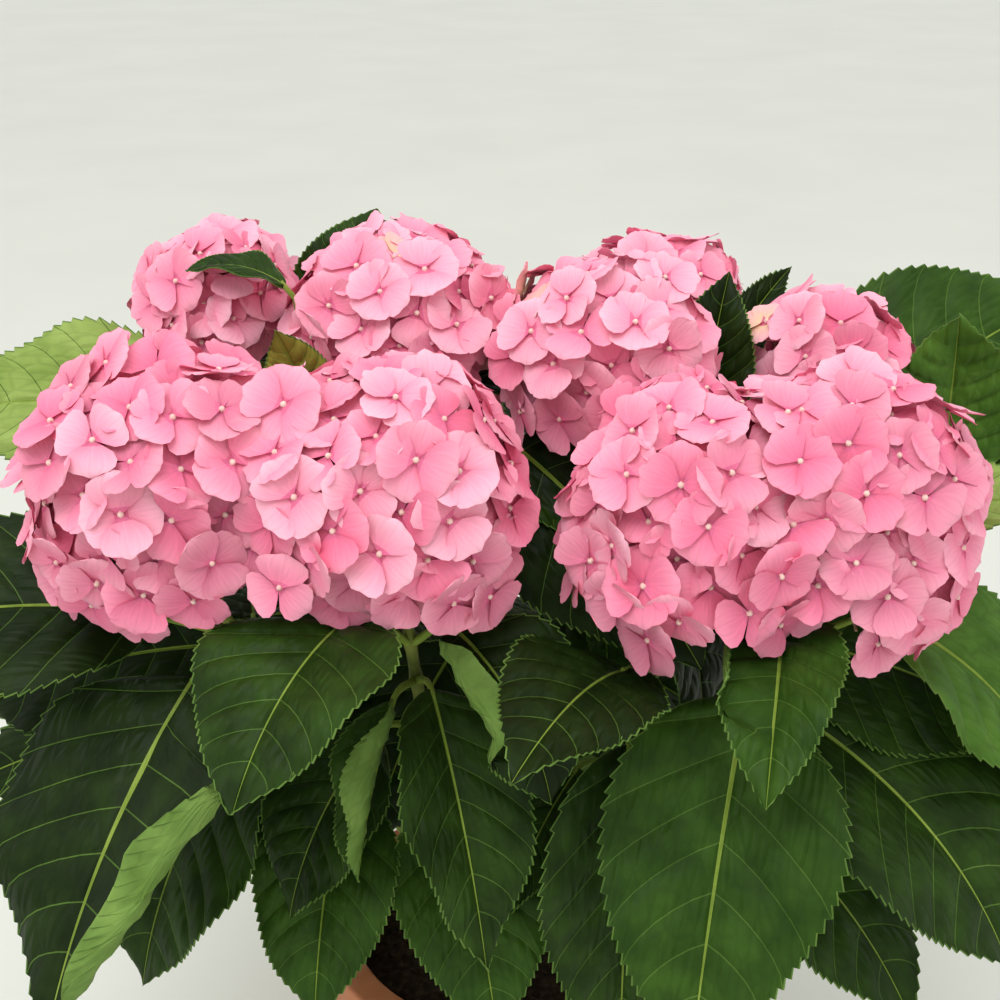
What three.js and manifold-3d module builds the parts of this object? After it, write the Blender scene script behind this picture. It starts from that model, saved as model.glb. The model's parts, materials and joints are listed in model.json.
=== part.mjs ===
import * as THREE from 'three';
import { mergeVertices } from 'three/addons/utils/BufferGeometryUtils.js';
import Module from 'manifold-3d';

// A mophead hydrangea in a clay pot: a woody base, five canes, and thirteen shoots that each carry
// pairs of leaves and one round bloom. Millimetres, +Z up, +X to the right, -Y towards the front.
// The origin is the middle of the pot's flat underside.

// Gap between pieces that touch on the real plant
const GAP = 0.3;

// Clay pot
const POT_HEIGHT = 170;
const POT_FOOT_RADIUS = 78;
const POT_NECK_RADIUS = 102;
const POT_RIM_RADIUS = 113;
const POT_RIM_DEPTH = 36;
const POT_WALL = 8;
const POT_FLOOR = 10;
const POT_EDGE = 2.5;
const POT_SIDES = 24;

// Potting compost, its top a little below the rim
const COMPOST_TOP = 148;
const COMPOST_EDGE_DROP = 6;
const COMPOST_FLAT_RADIUS = 62;

// Woody base of the plant, flared where it meets the compost
const BASE_HEIGHT = 34;
const BASE_FOOT_RADIUS = 29;
const BASE_TOP_RADIUS = 17;
const BASE_LEAN = [4, -3];
const BASE_LOBES = 3;
const BASE_LOBE_SHARE = 0.08;
const BASE_SIDES = 11;

// Stems. A cane stands nearer the middle at its foot and bends upwards at its knee; a shoot rises
// almost straight and then bends to run up into its bloom
const CANE_FOOT_RADIUS = 7;
const CANE_TIP_RADIUS = 5.2;
const CANE_FOOT_OUT = 0.25;
const CANE_KNEE_OUT = 0.75;
const CANE_KNEE_UP = 0.4;
const BOUGH_FOOT_RADIUS = 4.6;
const BOUGH_END_RADIUS = 3.9;
const STEM_TOP_RADIUS = 2.8;
const STEM_RISE = 85;
const STEM_OUT = 0.18;
const STALK_REACH = 70;
const STALK_SUNK = 0.25;
const STEM_SIDES = 6;

// Where along a shoot its bough ends and its bloom's stalk starts, as shares of the shoot's curve
const BOUGH_END = 0.2;
const STALK_START = 0.86;

// How far below its tip, as a share of its curve, each further bough leaves a cane
const FORK_STEP = 0.2;

// Leaves. Lower pairs hang further down, and leaves that point inwards are smaller
const LEAF_LENGTH = 145;
const LEAF_GROWTH = [0.82, 1.04];
const INNER_LEAF_SHARE = 0.72;
const INNER_LEAF_TURN = -20;
const LEAF_WIDTH_SHARE = 0.66;
const LEAF_THICKNESS_SHARE = 0.017;
const LEAF_STALK_LENGTH = 30;
const LEAF_STALK_RADIUS = 2.3;
const LEAF_STALK_END_RADIUS = 1.95;
const LEAF_STALK_LIFT = 20;
const LEAF_PITCH = -14;
const LEAF_PITCH_STEP = -11;
const LEAF_CURL = 44;
const LEAF_FOLD = 12;
const LEAF_WANDER = 20;
const LEAF_DROOP = 16;
const LEAF_TILT = 24;
const BLADE_WIDEST = 0.72;
const BLADE_ROUNDING = 0.85;
const BLADE_STATIONS = [0.16, 0.45, 0.77];
const LEAF_ROOM = 1.5;

// Changes that a leaf tries to stay clear: shares of its length, and degrees of dip and turn
const LEAF_SIZES = [1, 0.7];
const LEAF_TRIES = [0, -10, 10, -20, 20, -30].flatMap((dip) => (
  [0, 12, -12, 24, -24].map((turn) => [dip, turn])
));

// Where along a shoot its pairs of leaves stand, from under the bloom down
const PAIR_PLACES = [0.8, 0.64, 0.48, 0.34];

// Florets that make up a bloom
const FLORET_RADIUS = 25;
const FLORET_NOTCH_SHARE = 0.72;
const FLORET_ROOT = 17;
const FLORET_CUP = 3;
const FLORET_SPREAD = 2150;
const FLORET_WANDER = 0.3;
const FLORET_CORNERS = 8;
const BLOOM_OUTWARD = 0.0016;
const BLOOM_UNDERSIDE_ANGLE = 138;
const BLOOM_FULLNESS = 2.5;
const BLOOM_TOUCH = 4;
const CORE_DEPTH = 10;
const CORE_UNDERSIDE_SHARE = 0.8;
const CORE_SIDES = 8;
const CORE_RINGS = 5;

// Seeds of the rule's random numbers: one step for each shoot, florets further on than leaves
const SEED_STEP = 7919;
const FLORET_SEED_START = 40;

// Steps smaller than these are smoothed out of a bloom, and out of the other solids
const BLOOM_STEP = 0.12;
const SMALLEST_STEP = 0.02;

// Canes: the way each leans, in degrees from +X, and how far out and how high its tip stands
const CANES = [
  { name: 'left_front', angle: 218, reach: 46, top: 214 },
  { name: 'left_back', angle: 146, reach: 48, top: 212 },
  { name: 'right_front', angle: 318, reach: 46, top: 210 },
  { name: 'right_back', angle: 38, reach: 48, top: 214 },
  { name: 'middle', angle: 96, reach: 16, top: 222 },
];

// Shoots: the cane that carries each, its bloom's middle, half width and half height, the way its
// first pair of leaves points, and notes on leaves that differ from the rule. A note is named by its
// pair, counted down from the bloom, and its side. Angles are in degrees; pitch is the slope from
// root to tip, curl the bend between them, share the blade's width for its length, and lift the
// slope of the leaf's own stalk. Swing is the way that stalk points where the leaf turns off it.
const SHOOTS = [
  {
    name: 'left_front_outer', cane: 'left_front', bloom: [-160, -110, 516], half: [66, 74], turn: 188,
    places: [0.8, 0.74, 0.58, 0.42],
    notes: {
      '0a': { azimuth: 188, pitch: -2, length: 161, curl: 40, share: 0.7, roll: -26, stalk: 42 },
      '1a': { azimuth: 241, pitch: -46, length: 176, curl: 36, share: 0.84, roll: 10, stalk: 50 },
      '2a': { azimuth: 227, pitch: -57, length: 145, curl: 40, share: 0.72, roll: -6, stalk: 44 },
      '3a': { azimuth: 201, pitch: -28, length: 150, roll: -14, stalk: 34 },
    },
  },
  {
    name: 'left_front_inner', cane: 'left_front', bloom: [-52, -120, 518], half: [67, 72], turn: 238,
    places: [0.8, 0.72, 0.6, 0.44],
    notes: {
      '0a': { azimuth: 243, pitch: -26, length: 112, curl: 62, share: 0.9, roll: 6, stalk: 68, lift: 38 },
      '0b': { azimuth: 315, pitch: -47, length: 100, curl: 60, share: 0.8, roll: 10, stalk: 40, lift: 34 },
      '1a': { azimuth: 291, pitch: -56, length: 141, curl: 30, share: 0.56, roll: -14, fold: 20, stalk: 26 },
      '1b': { azimuth: 262, pitch: -57, length: 92, curl: 30, share: 0.5, roll: 30, fold: 38, lift: 10 },
      '2a': { azimuth: 223, pitch: -55, length: 110, share: 0.7, roll: -6, stalk: 34 },
      '3a': { azimuth: 289, pitch: -49, length: 132, roll: 6 },
    },
  },
  {
    name: 'left_middle_outer', cane: 'left_back', bloom: [-160, 50, 560], half: [47, 48], turn: 170,
    notes: {
      '0a': { azimuth: 172, pitch: -4, length: 172, curl: 24, share: 0.58, roll: -40, stalk: 44 },
      '1b': { azimuth: 165, pitch: 24, length: 72, curl: 90, share: 0.5, stalk: 74, lift: 76, swing: 40 },
    },
  },
  { name: 'left_back_outer', cane: 'left_back', bloom: [-164, 140, 546], half: [41, 42], turn: 120 },
  {
    name: 'left_middle_inner', cane: 'middle', bloom: [-55, 30, 556], half: [63, 57], turn: 320,
    notes: {
      '0b': { azimuth: 95, pitch: 46, length: 104, curl: 50, share: 0.78, roll: 0, stalk: 60, lift: 40 },
      '1a': { azimuth: 120, pitch: 60, length: 62, share: 0.62, stalk: 92, lift: 44, swing: 212 },
    },
  },
  {
    name: 'right_middle_inner', cane: 'middle', bloom: [57, -10, 550], half: [60, 58], turn: 262,
    notes: {
      '0a': { azimuth: 298, pitch: -48, length: 140, curl: 40, share: 0.8, roll: -6, stalk: 34 },
      '1b': {
        azimuth: 60, pitch: 66, length: 80, curl: 30, share: 0.5, fold: 34, stalk: 88, lift: 40, swing: 30,
      },
    },
  },
  {
    name: 'right_back_inner', cane: 'right_back', bloom: [97, 110, 538], half: [56, 50], turn: 80,
    notes: {
      '0b': {
        azimuth: 350, pitch: 34, length: 78, curl: 30, share: 0.5, fold: 24, stalk: 66, lift: 48, swing: 340,
      },
    },
  },
  {
    name: 'right_middle_outer', cane: 'right_back', bloom: [180, 30, 527], half: [54, 50], turn: 15,
    notes: {
      '0a': { azimuth: 21, pitch: 29, length: 176, curl: 30, share: 0.8, roll: 34, stalk: 50 },
      '1a': { azimuth: 4, pitch: 50, length: 140, curl: 16, share: 0.7, roll: 34, stalk: 80, lift: 14 },
    },
  },
  {
    name: 'right_front_inner', cane: 'right_front', bloom: [88, -120, 505], half: [60, 72], turn: 215,
    places: [0.8, 0.66, 0.52, 0.38],
    notes: {
      '1a': { azimuth: 268, pitch: -79, length: 180, curl: 24, share: 0.58, roll: -10, fold: 22, lift: 5 },
    },
  },
  {
    name: 'right_front_outer', cane: 'right_front', bloom: [172, -104, 502], half: [60, 77], turn: 257,
    places: [0.82, 0.74, 0.64, 0.46],
    notes: {
      '0a': { azimuth: 257, pitch: -19, length: 111, curl: 60, share: 0.6, fold: 22, stalk: 46, lift: 42 },
      '0b': { azimuth: 356, pitch: -50, length: 170, curl: 50, share: 0.56, roll: 30, stalk: 56 },
      '1a': { azimuth: 252, pitch: -56, length: 190, curl: 36, share: 0.64, roll: -8 },
      '2a': { azimuth: 333, pitch: -44, length: 175, share: 0.72, roll: 22, stalk: 46 },
      '3a': { azimuth: 326, pitch: -40, length: 165, share: 0.66, roll: 14, stalk: 36 },
    },
  },
  { name: 'rear_left', cane: 'left_back', bloom: [-110, 205, 470], half: [50, 46], turn: 100 },
  { name: 'rear_middle', cane: 'middle', bloom: [-10, 195, 455], half: [52, 48], turn: 60 },
  { name: 'rear_right', cane: 'right_back', bloom: [145, 185, 470], half: [50, 46], turn: 30 },
];

const SURFACES = {
  clay: { color: 0xb0663f, roughness: 0.9, metalness: 0 },
  compost: { color: 0x2c2019, roughness: 1, metalness: 0 },
  bark: { color: 0x6b5836, roughness: 0.9, metalness: 0 },
  stem: { color: 0x5f6a2c, roughness: 0.8, metalness: 0 },
  leaf: { color: 0x2f4a1c, roughness: 0.6, metalness: 0 },
  petal: { color: 0xf09cb5, roughness: 0.7, metalness: 0 },
};

const wasm = await Module();
wasm.setup();

// A seeded row of numbers from 0 to 1
function numbersFrom(seed) {
  let state = seed;
  return () => {
    state = (state * 48271) % 2147483647;
    return state / 2147483647;
  };
}

function radians(degrees) {
  return (degrees * Math.PI) / 180;
}

function vector(point) {
  return new THREE.Vector3(point[0], point[1], point[2]);
}

// A closed three.js geometry as a solid
function solidFrom(geometry) {
  const bare = geometry.clone();
  bare.deleteAttribute('normal');
  bare.deleteAttribute('uv');
  const merged = mergeVertices(bare, 1e-4);
  return new wasm.Manifold(new wasm.Mesh({
    numProp: 3,
    vertProperties: new Float32Array(merged.attributes.position.array),
    triVerts: new Uint32Array(merged.index.array),
  }));
}

function meshFrom(solid, name, surface) {
  const data = solid.getMesh();
  const points = [];
  for (let i = 0; i < data.numVert; i += 1) {
    for (let axis = 0; axis < 3; axis += 1) {
      points.push(data.vertProperties[i * data.numProp + axis]);
    }
  }
  const geometry = new THREE.BufferGeometry();
  geometry.setAttribute('position', new THREE.Float32BufferAttribute(points, 3));
  geometry.setIndex(Array.from(data.triVerts));
  const mesh = new THREE.Mesh(geometry, new THREE.MeshStandardMaterial(surface));
  mesh.name = name;
  return mesh;
}

// Moves every point of a geometry by a rule
function reshape(geometry, rule) {
  const place = geometry.attributes.position;
  const point = new THREE.Vector3();
  for (let i = 0; i < place.count; i += 1) {
    point.fromBufferAttribute(place, i);
    rule(point);
    place.setXYZ(i, point.x, point.y, point.z);
  }
  return geometry;
}

// The largest body of a solid: scraps are dropped, and a sealed hollow is filled
function wholeBody(solid) {
  let best = null;
  for (const body of solid.decompose()) {
    if (best === null || body.volume() > best.volume()) {
      best = body;
    }
  }
  return best;
}

// One tapering limb along a curve, with flat ends square to it
function limb(curve, from, to, startRadius, endRadius, segments) {
  const geometry = reshape(new THREE.CylinderGeometry(1, 1, 1, STEM_SIDES, segments), (point) => {
    const share = point.y + 0.5;
    const at = from + (to - from) * share;
    const radius = startRadius + (endRadius - startRadius) * share;
    const along = curve.getTangent(at);
    const side = new THREE.Vector3(1, 0, 0);
    side.addScaledVector(along, -side.dot(along)).normalize();
    const across = side.clone().cross(along);
    const x = point.x * radius;
    const z = point.z * radius;
    point.copy(curve.getPoint(at)).addScaledVector(side, x).addScaledVector(across, z);
  });
  return solidFrom(geometry);
}

// The same limb with the gap added round it and past its ends, to cut what grows from it
function limbRoom(curve, to, startRadius, endRadius, segments) {
  const room = limb(curve, 0, to, startRadius + GAP, endRadius + GAP, segments);
  const past = curve.getTangent(to).multiplyScalar(GAP);
  const before = curve.getTangent(0).multiplyScalar(-GAP);
  return room.add(room.translate(past.toArray())).add(room.translate(before.toArray()));
}

// The place on a curve a short distance further on
function further(curve, at, distance) {
  const step = 0.001;
  const speed = curve.getPoint(at + step).distanceTo(curve.getPoint(at)) / step;
  return at + distance / speed;
}

function lathe(profile) {
  const points = profile.map(([radius, height]) => new THREE.Vector2(radius, height));
  const geometry = new THREE.LatheGeometry(points, POT_SIDES);
  geometry.rotateX(Math.PI / 2);
  return solidFrom(geometry);
}

// Radius of the pot's inner wall at a height
function innerRadius(height) {
  const foot = POT_FOOT_RADIUS - POT_WALL;
  const rim = POT_NECK_RADIUS - POT_WALL;
  return foot + ((rim - foot) * (height - POT_FLOOR)) / (POT_HEIGHT - POT_FLOOR);
}

function pot() {
  const neck = POT_HEIGHT - POT_RIM_DEPTH;
  return lathe([
    [0, 0],
    [POT_FOOT_RADIUS - POT_EDGE, 0],
    [POT_FOOT_RADIUS, POT_EDGE],
    [POT_NECK_RADIUS, neck],
    [POT_RIM_RADIUS - POT_EDGE, neck],
    [POT_RIM_RADIUS, POT_HEIGHT - POT_EDGE],
    [POT_RIM_RADIUS - POT_EDGE, POT_HEIGHT],
    [innerRadius(POT_HEIGHT), POT_HEIGHT],
    [innerRadius(POT_FLOOR), POT_FLOOR],
    [0, POT_FLOOR],
  ]);
}

function compost() {
  const edge = COMPOST_TOP - COMPOST_EDGE_DROP;
  const floor = POT_FLOOR + GAP;
  return lathe([
    [0, floor],
    [innerRadius(floor) - GAP, floor],
    [innerRadius(edge) - GAP, edge],
    [COMPOST_FLAT_RADIUS, COMPOST_TOP],
    [0, COMPOST_TOP],
  ]);
}

// The woody base, or with grow its shape a little larger, to cut what grows from it
function woodyBase(grow) {
  const foot = COMPOST_TOP + GAP - grow;
  const geometry = new THREE.CylinderGeometry(1, 1, 1, BASE_SIDES, 3);
  reshape(geometry, (point) => {
    const share = point.y + 0.5;
    const flare = BASE_TOP_RADIUS + (BASE_FOOT_RADIUS - BASE_TOP_RADIUS) * (1 - share) ** 2;
    const lobes = 1 + BASE_LOBE_SHARE * Math.sin(BASE_LOBES * Math.atan2(point.z, point.x));
    const radius = flare * lobes + grow;
    const x = point.x * radius + BASE_LEAN[0] * share;
    const y = -point.z * radius + BASE_LEAN[1] * share;
    point.set(x, y, foot + (BASE_HEIGHT + 2 * grow) * share);
  });
  return solidFrom(geometry);
}

function caneCurve(cane) {
  const angle = radians(cane.angle);
  const out = new THREE.Vector3(Math.cos(angle), Math.sin(angle), 0);
  const foot = COMPOST_TOP + BASE_HEIGHT / 2;
  const start = out.clone().multiplyScalar(cane.reach * CANE_FOOT_OUT).setZ(foot);
  const tip = out.clone().multiplyScalar(cane.reach).setZ(cane.top);
  const knee = out.clone().multiplyScalar(cane.reach * CANE_KNEE_OUT);
  knee.z = foot + (cane.top - foot) * CANE_KNEE_UP;
  return new THREE.QuadraticBezierCurve3(start, knee, tip);
}

// The way a bloom faces: up, and outwards from the plant's middle
function bloomAxis(shoot) {
  const [x, y] = shoot.bloom;
  return new THREE.Vector3(x * BLOOM_OUTWARD, y * BLOOM_OUTWARD, 1).normalize();
}

// A shoot's curve, from its cane's tip up into the middle of its bloom
function shootCurve(shoot, cane, order) {
  const start = caneCurve(cane).getPoint(1 - order * FORK_STEP);
  const middle = vector(shoot.bloom);
  const axis = bloomAxis(shoot);
  const rise = start.clone().addScaledVector(middle.clone().sub(start).setZ(0), STEM_OUT);
  rise.z += STEM_RISE;
  const below = middle.clone().addScaledVector(axis, -(shoot.half[1] + STALK_REACH));
  const end = middle.clone().addScaledVector(axis, -shoot.half[1] * STALK_SUNK);
  return new THREE.CubicBezierCurve3(start, rise, below, end);
}

// Directions along, across and square to a leaf's blade at a share of its length
function leafFrame(leaf, share) {
  const rise = leaf.pitch + leaf.curl * (0.5 - share);
  const cosA = Math.cos(leaf.azimuth);
  const sinA = Math.sin(leaf.azimuth);
  const along = new THREE.Vector3(cosA * Math.cos(rise), sinA * Math.cos(rise), Math.sin(rise));
  const level = new THREE.Vector3(-sinA, cosA, 0);
  const upright = along.clone().cross(level);
  const cosR = Math.cos(leaf.roll);
  const sinR = Math.sin(leaf.roll);
  const across = level.clone().multiplyScalar(cosR).addScaledVector(upright, sinR);
  const square = upright.clone().multiplyScalar(cosR).addScaledVector(level, -sinR);
  return { along, across, square };
}

// A point of the midrib, which bends evenly from its root to its tip
function midrib(leaf, share) {
  const start = leaf.pitch + leaf.curl * 0.5;
  const now = start - leaf.curl * share;
  const out = (leaf.length * (Math.sin(start) - Math.sin(now))) / leaf.curl;
  const up = (leaf.length * (Math.cos(now) - Math.cos(start))) / leaf.curl;
  const point = new THREE.Vector3(out * Math.cos(leaf.azimuth), out * Math.sin(leaf.azimuth), up);
  return point.add(leaf.root);
}

// Half the blade's width at a share of its length: widest below the middle, pointed at the tip
function halfWidth(leaf, share) {
  const round = Math.sin(Math.PI * share ** BLADE_WIDEST) ** BLADE_ROUNDING;
  return leaf.length * leaf.share * 0.5 * round;
}

// A point of the blade; side runs from -1 at one edge to 1 at the other
function bladePoint(leaf, share, side) {
  const frame = leafFrame(leaf, share);
  const wide = halfWidth(leaf, share) * side;
  return midrib(leaf, share)
    .addScaledVector(frame.across, wide * Math.cos(leaf.fold))
    .addScaledVector(frame.square, Math.abs(wide) * Math.sin(leaf.fold));
}

// The blade of a leaf, like a thin lens whose thickest line is the midrib; grow adds room all round
function bladeSolid(leaf, grow) {
  const stations = [0, ...BLADE_STATIONS, 1];
  const last = stations.length - 1;
  const thickness = leaf.length * LEAF_THICKNESS_SHARE * 0.5 + grow;
  const blade = reshape(new THREE.SphereGeometry(1, 4, last), (point) => {
    const ring = Math.round((Math.acos(THREE.MathUtils.clamp(point.y, -1, 1)) / Math.PI) * last);
    const pole = ring === 0 || ring === last;
    const side = pole ? 0 : Math.round(point.x / Math.sin((Math.PI * ring) / last));
    const lift = pole ? 0 : Math.round(point.z / Math.sin((Math.PI * ring) / last));
    const frame = leafFrame(leaf, stations[ring]);
    point.copy(bladePoint(leaf, stations[ring], side));
    point.addScaledVector(frame.square, lift * thickness).addScaledVector(frame.across, side * grow);
  });
  return solidFrom(blade);
}

// The room that a leaf's own stalk takes
function stalkSolid(leaf) {
  const line = new THREE.LineCurve3(leaf.stem, leaf.root);
  return limb(line, 0, 1, LEAF_STALK_RADIUS, LEAF_STALK_RADIUS, 1);
}

// A leaf in one piece: its stalk, sunk in the stem, runs on into the midrib of a blade like a thin lens
function leafSolid(leaf) {
  const thickness = leaf.length * LEAF_THICKNESS_SHARE * 0.5;
  const start = leafFrame(leaf, 0);
  const stalkWay = leaf.root.clone().sub(leaf.stem).normalize();
  const stalkRing = (middle, way, radius) => {
    const across = start.across.clone().addScaledVector(way, -start.across.dot(way)).normalize();
    const square = way.clone().cross(across);
    return (side, lift) => middle.clone()
      .addScaledVector(across, side * radius)
      .addScaledVector(square, lift * radius);
  };
  const bladeRing = (share) => (side, lift) => (
    bladePoint(leaf, share, side).addScaledVector(leafFrame(leaf, share).square, lift * thickness)
  );
  const inStem = leaf.stem.clone().addScaledVector(stalkWay, LEAF_STALK_RADIUS);
  const turning = stalkWay.clone().add(start.along).normalize();
  const rings = [
    () => leaf.stem.clone(),
    stalkRing(inStem, stalkWay, LEAF_STALK_RADIUS),
    stalkRing(leaf.root, turning, LEAF_STALK_END_RADIUS),
    ...BLADE_STATIONS.map(bladeRing),
    () => midrib(leaf, 1),
  ];
  const last = rings.length - 1;
  const geometry = reshape(new THREE.SphereGeometry(1, 4, last), (point) => {
    const ring = Math.round((Math.acos(THREE.MathUtils.clamp(point.y, -1, 1)) / Math.PI) * last);
    const wide = Math.max(Math.sin((Math.PI * ring) / last), 0.01);
    point.copy(rings[ring](Math.round(point.x / wide), Math.round(point.z / wide)));
  });
  return solidFrom(geometry);
}

function touches(solid, other) {
  const box = solid.boundingBox();
  const near = other.boundingBox();
  for (let axis = 0; axis < 3; axis += 1) {
    if (box.min[axis] > near.max[axis] || near.min[axis] > box.max[axis]) {
      return false;
    }
  }
  return !solid.intersect(other).isEmpty();
}

// A leaf is tried at its own direction, then dipped and turned a little, then shorter, until its
// blade and stalk are clear of the limbs, the blooms' cores and the leaves before it; else it is
// left off. Its own shoot's stems and leaves are tested against the blade alone.
function fitLeaf(leaf, obstacles) {
  for (const size of LEAF_SIZES) {
    for (const [dip, turn] of LEAF_TRIES) {
      const tried = { ...leaf, length: leaf.length * size };
      tried.pitch += radians(dip);
      tried.azimuth += radians(turn);
      const swing = leaf.swing ?? tried.azimuth;
      const out = new THREE.Vector3(Math.cos(swing), Math.sin(swing), 0);
      tried.root = leaf.stem.clone().addScaledVector(out, leaf.stalk * Math.cos(leaf.lift));
      tried.root.z += leaf.stalk * Math.sin(leaf.lift);
      const blade = bladeSolid(tried, LEAF_ROOM);
      const stalk = stalkSolid(tried);
      const clear = obstacles.every(({ solid, shoot }) => (
        !touches(blade, solid) && (shoot === leaf.shoot || !touches(stalk, solid))
      ));
      if (clear) {
        return tried;
      }
    }
  }
  return null;
}

// How far a bloom reaches in a direction, as a share of an ellipsoid: its shoulders are fuller
function fullness(way) {
  const flat = Math.hypot(way.x, way.y);
  return (flat ** BLOOM_FULLNESS + Math.abs(way.z) ** BLOOM_FULLNESS) ** (-1 / BLOOM_FULLNESS);
}

function bloomCore(shoot) {
  const [wide, high] = shoot.half;
  const sunk = (reach) => Math.sqrt(reach * reach - FLORET_RADIUS * FLORET_RADIUS);
  return {
    middle: vector(shoot.bloom),
    wide: sunk(wide) - CORE_DEPTH,
    high: sunk(high) - CORE_DEPTH,
  };
}

// The leaves of one shoot, in opposite pairs, each pair square to the one below it
function shootLeaves(shoot, curve, seed) {
  const next = numbersFrom(seed);
  const leaves = [];
  const places = shoot.places ?? PAIR_PLACES;
  places.forEach((place, pair) => {
    const stem = curve.getPoint(place);
    for (const side of ['a', 'b']) {
      const note = shoot.notes?.[`${pair}${side}`] ?? {};
      const wander = (next() - 0.5) * LEAF_WANDER;
      const droop = (next() - 0.5) * LEAF_DROOP;
      const growth = LEAF_GROWTH[0] + next() * (LEAF_GROWTH[1] - LEAF_GROWTH[0]);
      const tilt = (next() - 0.5) * LEAF_TILT;
      const facing = shoot.turn + 90 * pair + (side === 'a' ? 0 : 180);
      const azimuth = note.azimuth ?? facing + wander;
      const outward = Math.cos(radians(azimuth)) * stem.x + Math.sin(radians(azimuth)) * stem.y;
      const size = growth * (outward < INNER_LEAF_TURN ? INNER_LEAF_SHARE : 1);
      leaves.push({
        name: `${pair}${side}`,
        shoot: shoot.name,
        noted: note.azimuth !== undefined,
        stem,
        azimuth: radians(azimuth),
        pitch: radians(note.pitch ?? LEAF_PITCH + LEAF_PITCH_STEP * pair + droop),
        length: note.length ?? LEAF_LENGTH * size,
        share: note.share ?? LEAF_WIDTH_SHARE,
        curl: radians(note.curl ?? LEAF_CURL),
        roll: radians(note.roll ?? tilt),
        fold: radians(note.fold ?? LEAF_FOLD),
        stalk: note.stalk ?? LEAF_STALK_LENGTH,
        lift: radians(note.lift ?? LEAF_STALK_LIFT),
        swing: note.swing === undefined ? undefined : radians(note.swing),
      });
    }
  });
  return leaves;
}

// One floret: four broad sepals as a shallow dish whose root is sunk in the core
function floretSolid(place, outward, spin) {
  const geometry = reshape(new THREE.SphereGeometry(1, FLORET_CORNERS, 2), (point) => {
    if (point.y > 0.5) {
      point.set(0, 0, 0);
      return;
    }
    if (point.y < -0.5) {
      point.set(0, 0, -FLORET_ROOT);
      return;
    }
    const angle = Math.atan2(point.z, point.x);
    const tip = Math.round((angle * FLORET_CORNERS) / (2 * Math.PI)) % 2 === 0;
    const radius = FLORET_RADIUS * (tip ? 1 : FLORET_NOTCH_SHARE);
    point.set(Math.cos(angle) * radius, -Math.sin(angle) * radius, tip ? FLORET_CUP : 0);
  });
  const turn = new THREE.Quaternion().setFromUnitVectors(new THREE.Vector3(0, 0, 1), outward);
  const roll = new THREE.Quaternion().setFromAxisAngle(new THREE.Vector3(0, 0, 1), spin);
  geometry.applyQuaternion(turn.multiply(roll));
  geometry.translate(place.x, place.y, place.z);
  return solidFrom(geometry);
}

// The middles and directions of a bloom's florets, spread evenly over its globe down to its underside
function floretPlaces(shoot, seed) {
  const next = numbersFrom(seed);
  const [wide, high] = shoot.half;
  const cap = 1 - Math.cos(radians(BLOOM_UNDERSIDE_ANGLE));
  const count = Math.round((cap * 2 * Math.PI * wide * high) / FLORET_SPREAD);
  const turn = new THREE.Quaternion().setFromUnitVectors(new THREE.Vector3(0, 0, 1), bloomAxis(shoot));
  const core = bloomCore(shoot);
  const golden = Math.PI * (3 - Math.sqrt(5));
  const start = next() * 2 * Math.PI;
  const places = [];
  for (let i = 0; i < count; i += 1) {
    const down = 1 - (cap * (i + 0.5)) / count;
    const ring = Math.sqrt(1 - down * down);
    const around = start + golden * i;
    const way = new THREE.Vector3(ring * Math.cos(around), ring * Math.sin(around), down);
    way.applyQuaternion(turn);
    const flat = (core.wide + CORE_DEPTH) * fullness(way);
    const tall = (core.high + CORE_DEPTH) * fullness(way);
    const place = core.middle.clone().add(new THREE.Vector3(way.x * flat, way.y * flat, way.z * tall));
    const outward = new THREE.Vector3(way.x / wide, way.y / wide, way.z / high);
    outward.normalize();
    outward.x += (next() - 0.5) * FLORET_WANDER;
    outward.y += (next() - 0.5) * FLORET_WANDER;
    outward.z += (next() - 0.5) * FLORET_WANDER;
    outward.normalize();
    places.push({ place, outward, spin: next() * Math.PI });
  }
  return places;
}

function coreSolid(shoot) {
  const core = bloomCore(shoot);
  const geometry = reshape(new THREE.SphereGeometry(1, CORE_SIDES, CORE_RINGS), (point) => {
    const way = new THREE.Vector3(point.x, -point.z, point.y);
    const high = way.z < 0 ? core.high * CORE_UNDERSIDE_SHARE : core.high;
    const full = fullness(way);
    point.set(way.x * core.wide, way.y * core.wide, way.z * high).multiplyScalar(full);
    point.add(core.middle);
  });
  return solidFrom(geometry);
}

// Where two blooms press together each stops at the plane between them
function partBlooms(solid, shoot) {
  let left = solid;
  const here = vector(shoot.bloom);
  for (const other of SHOOTS) {
    const there = vector(other.bloom);
    const apart = here.distanceTo(there);
    const reach = Math.max(...shoot.half);
    const otherReach = Math.max(...other.half);
    if (other === shoot || apart > reach + otherReach + BLOOM_TOUCH) {
      continue;
    }
    const away = here.clone().sub(there).divideScalar(apart);
    const share = (apart * apart + reach * reach - otherReach * otherReach) / (2 * apart);
    const plane = here.clone().addScaledVector(away, -share);
    left = left.trimByPlane([away.x, away.y, away.z], plane.dot(away) + GAP / 2);
  }
  return left;
}

const shrub = new THREE.Group();
const placed = [];

function keep(solid, name, surface) {
  const smooth = solid.asOriginal().simplify(SMALLEST_STEP);
  placed.push(smooth);
  shrub.add(meshFrom(smooth, name, surface));
}

// Whether a solid keeps the gap to every solid placed so far
function isClear(solid, others) {
  const box = solid.boundingBox();
  return others.every((other) => {
    const near = other.boundingBox();
    const apart = [0, 1, 2].some((axis) => (
      box.min[axis] > near.max[axis] + GAP || near.min[axis] > box.max[axis] + GAP
    ));
    return apart || solid.minGap(other, GAP * 2) >= GAP * 0.9;
  });
}

keep(pot(), 'pot', SURFACES.clay);
keep(compost(), 'compost', SURFACES.compost);
keep(woodyBase(0), 'woody_base', SURFACES.bark);

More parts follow.
